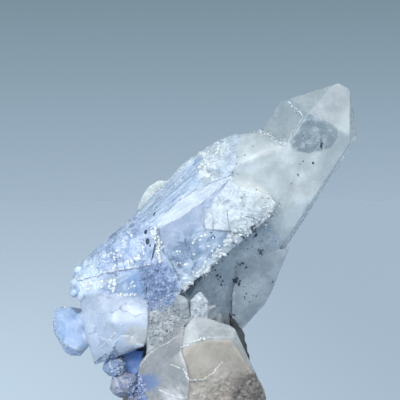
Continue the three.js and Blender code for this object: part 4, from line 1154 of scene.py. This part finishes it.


# Hairline cracks, and pale lines that are part white fracture and part painted edge highlight, drawn as
# strings of long grains. Each has its width and its (x, z) path.
fineLines = {
    "sugar": [
        (0.12, [(-6.9, 37.5), (-3.6, 38.9), (0.2, 41.6), (5.2, 46)]),
        (0.16, [(-19.6, 29.3), (-14, 30.7), (-7.9, 31.8)]),
        (0.55, [(-8, 37.6), (-7.2, 35.4), (-6.7, 33.6), (-6.4, 32)]),
        (0.45, [(-7.2, 37.6), (-6.7, 35.6), (-6.5, 34)]),
        (0.4, [(-7.6, 37.2), (-7.1, 36)]),
        (0.25, [(-9.4, 35.2), (-8.9, 33.4)]),
        (0.14, [(-12.2, 37.3), (-8.5, 40.9), (-3, 45.4)]),
        (0.1, [(16.5, 55.4), (15.6, 53.8), (14.6, 52.6), (14.2, 51.3)]),
        (0.2, [(14, 57.8), (16.4, 55.6)]),
        (0.1, [(-16.2, 18.2), (-14, 20.4), (-12.2, 22.4)]),
        (0.32, [(-3, 18.4), (-1.2, 19.3), (0.9, 20)]),
        (0.12, [(1.2, 20), (4.9, 20)]),
        (0.14, [(-1.6, 13.2), (0.6, 13.3), (2.4, 14.6), (3.4, 16)]),
        (0.14, [(-9.6, 15.4), (-8, 17.6), (-3.8, 20)]),
        (0.2, [(-4.6, 15.6), (-2.6, 14.9), (-1.8, 13.4)]),
        (0.2, [(-6.6, 11.6), (-4.2, 10.6), (-2.8, 10.2)]),
    ],
    "crackShade": [
        (0.1, [(-5.6, 40), (-2.5, 42.5), (-0.2, 43.9), (5.2, 46.1)]),
        (0.12, [(-19.8, 29), (-14, 30.4), (-7.9, 31.4)]),
        (0.12, [(6.6, 40), (7.2, 39.3), (9.2, 39.1), (10.6, 39.4)]),
        (0.1, [(1.8, 40.1), (2.1, 38.8), (2.1, 36.9)]),
        (0.1, [(4.3, 40.4), (4.5, 38.8), (4.8, 37.2)]),
        (0.12, [(-14.3, 36), (-9.5, 40.5), (-6.3, 42.6)]),
        (0.22, [(-17, 15.9), (-14.9, 17.4)]),
        (0.12, [(-6.6, 37.4), (-6.2, 35.6), (-5.8, 33.6)]),
        (0.12, [(-1.6, 12.9), (0.8, 13), (2.2, 13.9)]),
    ],
}


def makeFineLines(name, lines, material):
    draw = random.Random(73)
    shapes = [tinyShape("bead", draw) for _ in range(3)]
    mesh = bmesh.new()
    for width, path in lines:
        for start, end in zip(path, path[1:]):
            reach = Vector((end[0] - start[0], 0.0, end[1] - start[1]))
            steps = max(2, int(reach.length / 0.25))
            for step in range(steps):
                share = (step + draw.uniform(0.2, 0.8)) / steps
                x = start[0] + reach.x * share + draw.gauss(0, 0.04 + width * 0.12)
                z = start[1] + reach.z * share + draw.gauss(0, 0.04 + width * 0.12)
                found = surfaceAt(x, z)
                if found is None or draw.random() < 0.12:
                    continue
                place, normal, _ = found
                along = (reach - normal * reach.dot(normal)).normalized()
                turned = Matrix((along.cross(normal), along, normal)).transposed().to_4x4()
                wide = width * draw.uniform(0.6, 1.4)
                sized = Matrix.Diagonal((wide * mm, draw.uniform(0.3, 0.55) * mm, 0.4 * wide * mm, 1.0))
                moved = Matrix.Translation(place) @ turned @ sized
                stamp(mesh, shapes[step % len(shapes)], moved)
    bmesh.ops.recalc_face_normals(mesh, faces=mesh.faces[:])
    return finished(name, mesh, material, 60.0)


# Pale lines: part white fracture, part painted highlight along edges.
makeFineLines("whiteLinesAndEdgeHighlights", fineLines["sugar"], rockMaterial("whiteFractureAndHighlight", whiteFractureAndHighlight))
makeFineLines("hairCracks", fineLines["crackShade"], rockMaterial("crackShade", crackShade))


# Dark mineral specks: x, z, width and length across the surface. A cluster has a spread and a count too.
darkSpecks = {
    "single": [
        (-8.7, 36.9, 0.6, 0.85), (-8.4, 35.4, 0.64, 1.15), (-8.0, 34.7, 0.3, 0.5),
        (-7.3, 39.8, 0.42, 0.7), (-7.0, 40.9, 0.26, 0.3), (-3.5, 31.6, 0.28, 0.28),
        (-8.3, 25.5, 0.22, 0.5), (18.1, 47.9, 0.36, 0.46), (16.5, 48.2, 0.2, 0.36),
        (16, 47.7, 0.2, 0.22), (15.7, 46, 0.2, 0.6), (19.4, 50.6, 0.34, 0.6), (5.9, 48.9, 0.2, 0.22),
        (5.8, 47.8, 0.22, 0.28), (7.2, 49.2, 0.2, 0.28), (5.2, 46.4, 0.22, 0.26),
        (6.6, 42.4, 0.2, 0.22), (11, 42.3, 0.24, 0.28), (15.4, 55.9, 0.2, 0.24),
        (11.6, 28.9, 0.26, 0.34), (-5.3, 21, 0.34, 0.36), (9, 43.6, 0.16, 0.28),
        (14.6, 44.6, 0.18, 0.26), (8.5, 50.6, 0.16, 0.3), (6.9, 36.1, 0.3, 0.34),
        (9.6, 33.5, 0.28, 0.45), (9.4, 34.1, 0.24, 0.3), (10.1, 34, 0.22, 0.28),
    ],
    "clusters": [
        (8.6, 37.2, 0.34, 0.38, 13), (6.9, 36.1, 0.22, 0.25, 4), (9.6, 33.7, 0.22, 0.35, 6),
        (6.6, 31.8, 0.26, 0.42, 8), (5.7, 29.1, 0.42, 0.34, 13), (2.8, 29.7, 0.26, 0.3, 6),
        (3.4, 28.9, 0.22, 0.3, 4), (1.5, 36.4, 0.2, 0.35, 5), (19.4, 50.8, 0.18, 0.6, 8),
        (7.4, 26.4, 0.18, 0.6, 7), (5.8, 23.4, 0.18, 0.7, 9), (10.8, 35.6, 0.16, 0.9, 7),
        (8, 35, 0.17, 0.8, 7), (16.4, 52.2, 0.15, 0.8, 6), (3.4, 25.6, 0.15, 1.2, 5),
        (-12.4, 33, 0.16, 1.4, 5),
    ],
}


def makeDarkSpecks(material):
    draw = random.Random(71)
    shapes = [tinyShape("bead", draw) for _ in range(4)]
    places = list(darkSpecks["single"])
    for x, z, width, spread, count in darkSpecks["clusters"]:
        for _ in range(count):
            size = width * draw.uniform(0.6, 1.3)
            near = (x + draw.gauss(0, spread), z + draw.gauss(0, spread))
            places.append((*near, size, size * draw.uniform(1, 1.6)))
    mesh = bmesh.new()
    for number, (x, z, width, length) in enumerate(places):
        found = surfaceAt(x, z)
        if found is None:
            continue
        place, normal, _ = found
        facing = normal.to_track_quat("Z", "Y").to_matrix().to_4x4()
        sized = Matrix.Diagonal((width * mm, length * mm, 0.5 * width * mm, 1.0))
        turn = Matrix.Rotation(draw.uniform(-0.4, 0.4), 4, "Z")
        moved = Matrix.Translation(place) @ facing @ turn @ sized
        stamp(mesh, shapes[number % len(shapes)], moved)
    bmesh.ops.recalc_face_normals(mesh, faces=mesh.faces[:])
    return finished("darkSpecks", mesh, material, 60.0)


makeDarkSpecks(rockMaterial("speckMineral", darkSpeckAndShadow))


# A large floor, painted lighter near the middle and on the left, soft daylight and the camera.
stageSettings = {
    "floorSize": 400.0,
    "floorFar": (0.383, 0.457, 0.546),
    "floorNear": (0.568, 0.672, 0.762),
    "nearReach": 0.787,
    "nearSoft": 0.6,
    "horizon": (0.361, 0.468, 0.578),
    "top": (0.198, 0.283, 0.342),
    "key": (-0.32, -0.86, 0.38),
    "keyLight": 1.95,
    "coreLight": 5.5,
    "fill": (0.15, -0.95, 0.1),
    "fillLight": 0.42,
    "keyTone": (1.0, 1.0, 1.0),
    "rim": (0.75, -0.1, 0.35),
    "rimLight": 1.05,
    "lamps": (("key", 0.93, 0.72), ("core", 0.993, 0.975), ("rim", 0.96, 0.85), ("fill", 0.8, 0.0)),
}


def makeStage():
    mesh = bmesh.new()
    bmesh.ops.create_grid(mesh, x_segments=1, y_segments=1, size=stageSettings["floorSize"])
    floor = objectFrom("floor", mesh)
    material, g = newMaterial("paleFloor")
    place = g.make("ShaderNodeTexCoord", output="Object")
    flat = g.vector("MULTIPLY", place, (1.0, 1.0, 0.0))
    away = g.make("ShaderNodeVectorMath", {"operation": "LENGTH"}, {0: flat}, "Value")
    side = g.make("ShaderNodeSeparateXYZ", None, {"Vector": place}, "X")
    near = away.math("DIVIDE", stageSettings["nearReach"], away + stageSettings["nearSoft"])
    # Painted light: the floor is lighter near the middle and on the left.
    lit = near.atMost(1.1) * g.smooth(side, -0.07, 0.07, 1.0, 0.05)
    tone = g.mix(lit, stageSettings["floorFar"], stageSettings["floorNear"])
    inputs = {"Base Color": tone, "Roughness": 1.0, "Specular IOR Level": 0.0}
    surface = g.make("ShaderNodeBsdfPrincipled", None, inputs, "BSDF")
    g.make("ShaderNodeOutputMaterial", None, {"Surface": surface})
    floor.data.materials.append(material)


def makeDaylight():
    world = bpy.data.worlds.new("daylight")
    scene.world = world
    world.use_nodes = True
    g = Graph(world.node_tree)
    direction = g.make("ShaderNodeTexCoord", output="Generated")
    height = g.make("ShaderNodeSeparateXYZ", None, {"Vector": direction}, "Z")
    rise = g.make("ShaderNodeMapRange", None, {"Value": height, "From Min": 0.0, "From Max": 0.053})
    sky = g.mix(rise, stageSettings["horizon"], stageSettings["top"])
    strength = 1.0
    for name, inner, outer in stageSettings["lamps"]:
        toward = tuple(Vector(stageSettings["key" if name == "core" else name]).normalized())
        settings = {"operation": "DOT_PRODUCT"}
        facing = g.make("ShaderNodeVectorMath", settings, {0: direction, 1: toward}, "Value")
        glow = g.smooth(facing, outer, inner)
        sky = g.mix(glow, sky, stageSettings["keyTone"])
        strength = strength + glow * stageSettings[name + "Light"]
    background = g.make("ShaderNodeBackground", None, {"Color": sky, "Strength": strength}, "Background")
    g.make("ShaderNodeOutputWorld", None, {"Surface": background})


cameraSettings = {"height": 42.0, "distance": 600.0, "fieldWide": 64.0, "sensor": 36.0}


def makeCamera():
    data = bpy.data.cameras.new("camera")
    data.sensor_width = cameraSettings["sensor"]
    data.lens = cameraSettings["sensor"] * cameraSettings["distance"] / cameraSettings["fieldWide"]
    data.clip_end = 1000.0
    made = bpy.data.objects.new("camera", data)
    made.location = Vector((0, -cameraSettings["distance"], cameraSettings["height"])) * mm
    made.rotation_euler = (math.radians(90.0), 0.0, 0.0)
    scene.collection.objects.link(made)
    scene.camera = made


makeStage()
makeDaylight()
makeCamera()
scene.view_settings.view_transform = "Standard"
scene.cycles.use_denoising = True
print("stage: floor, light and camera")
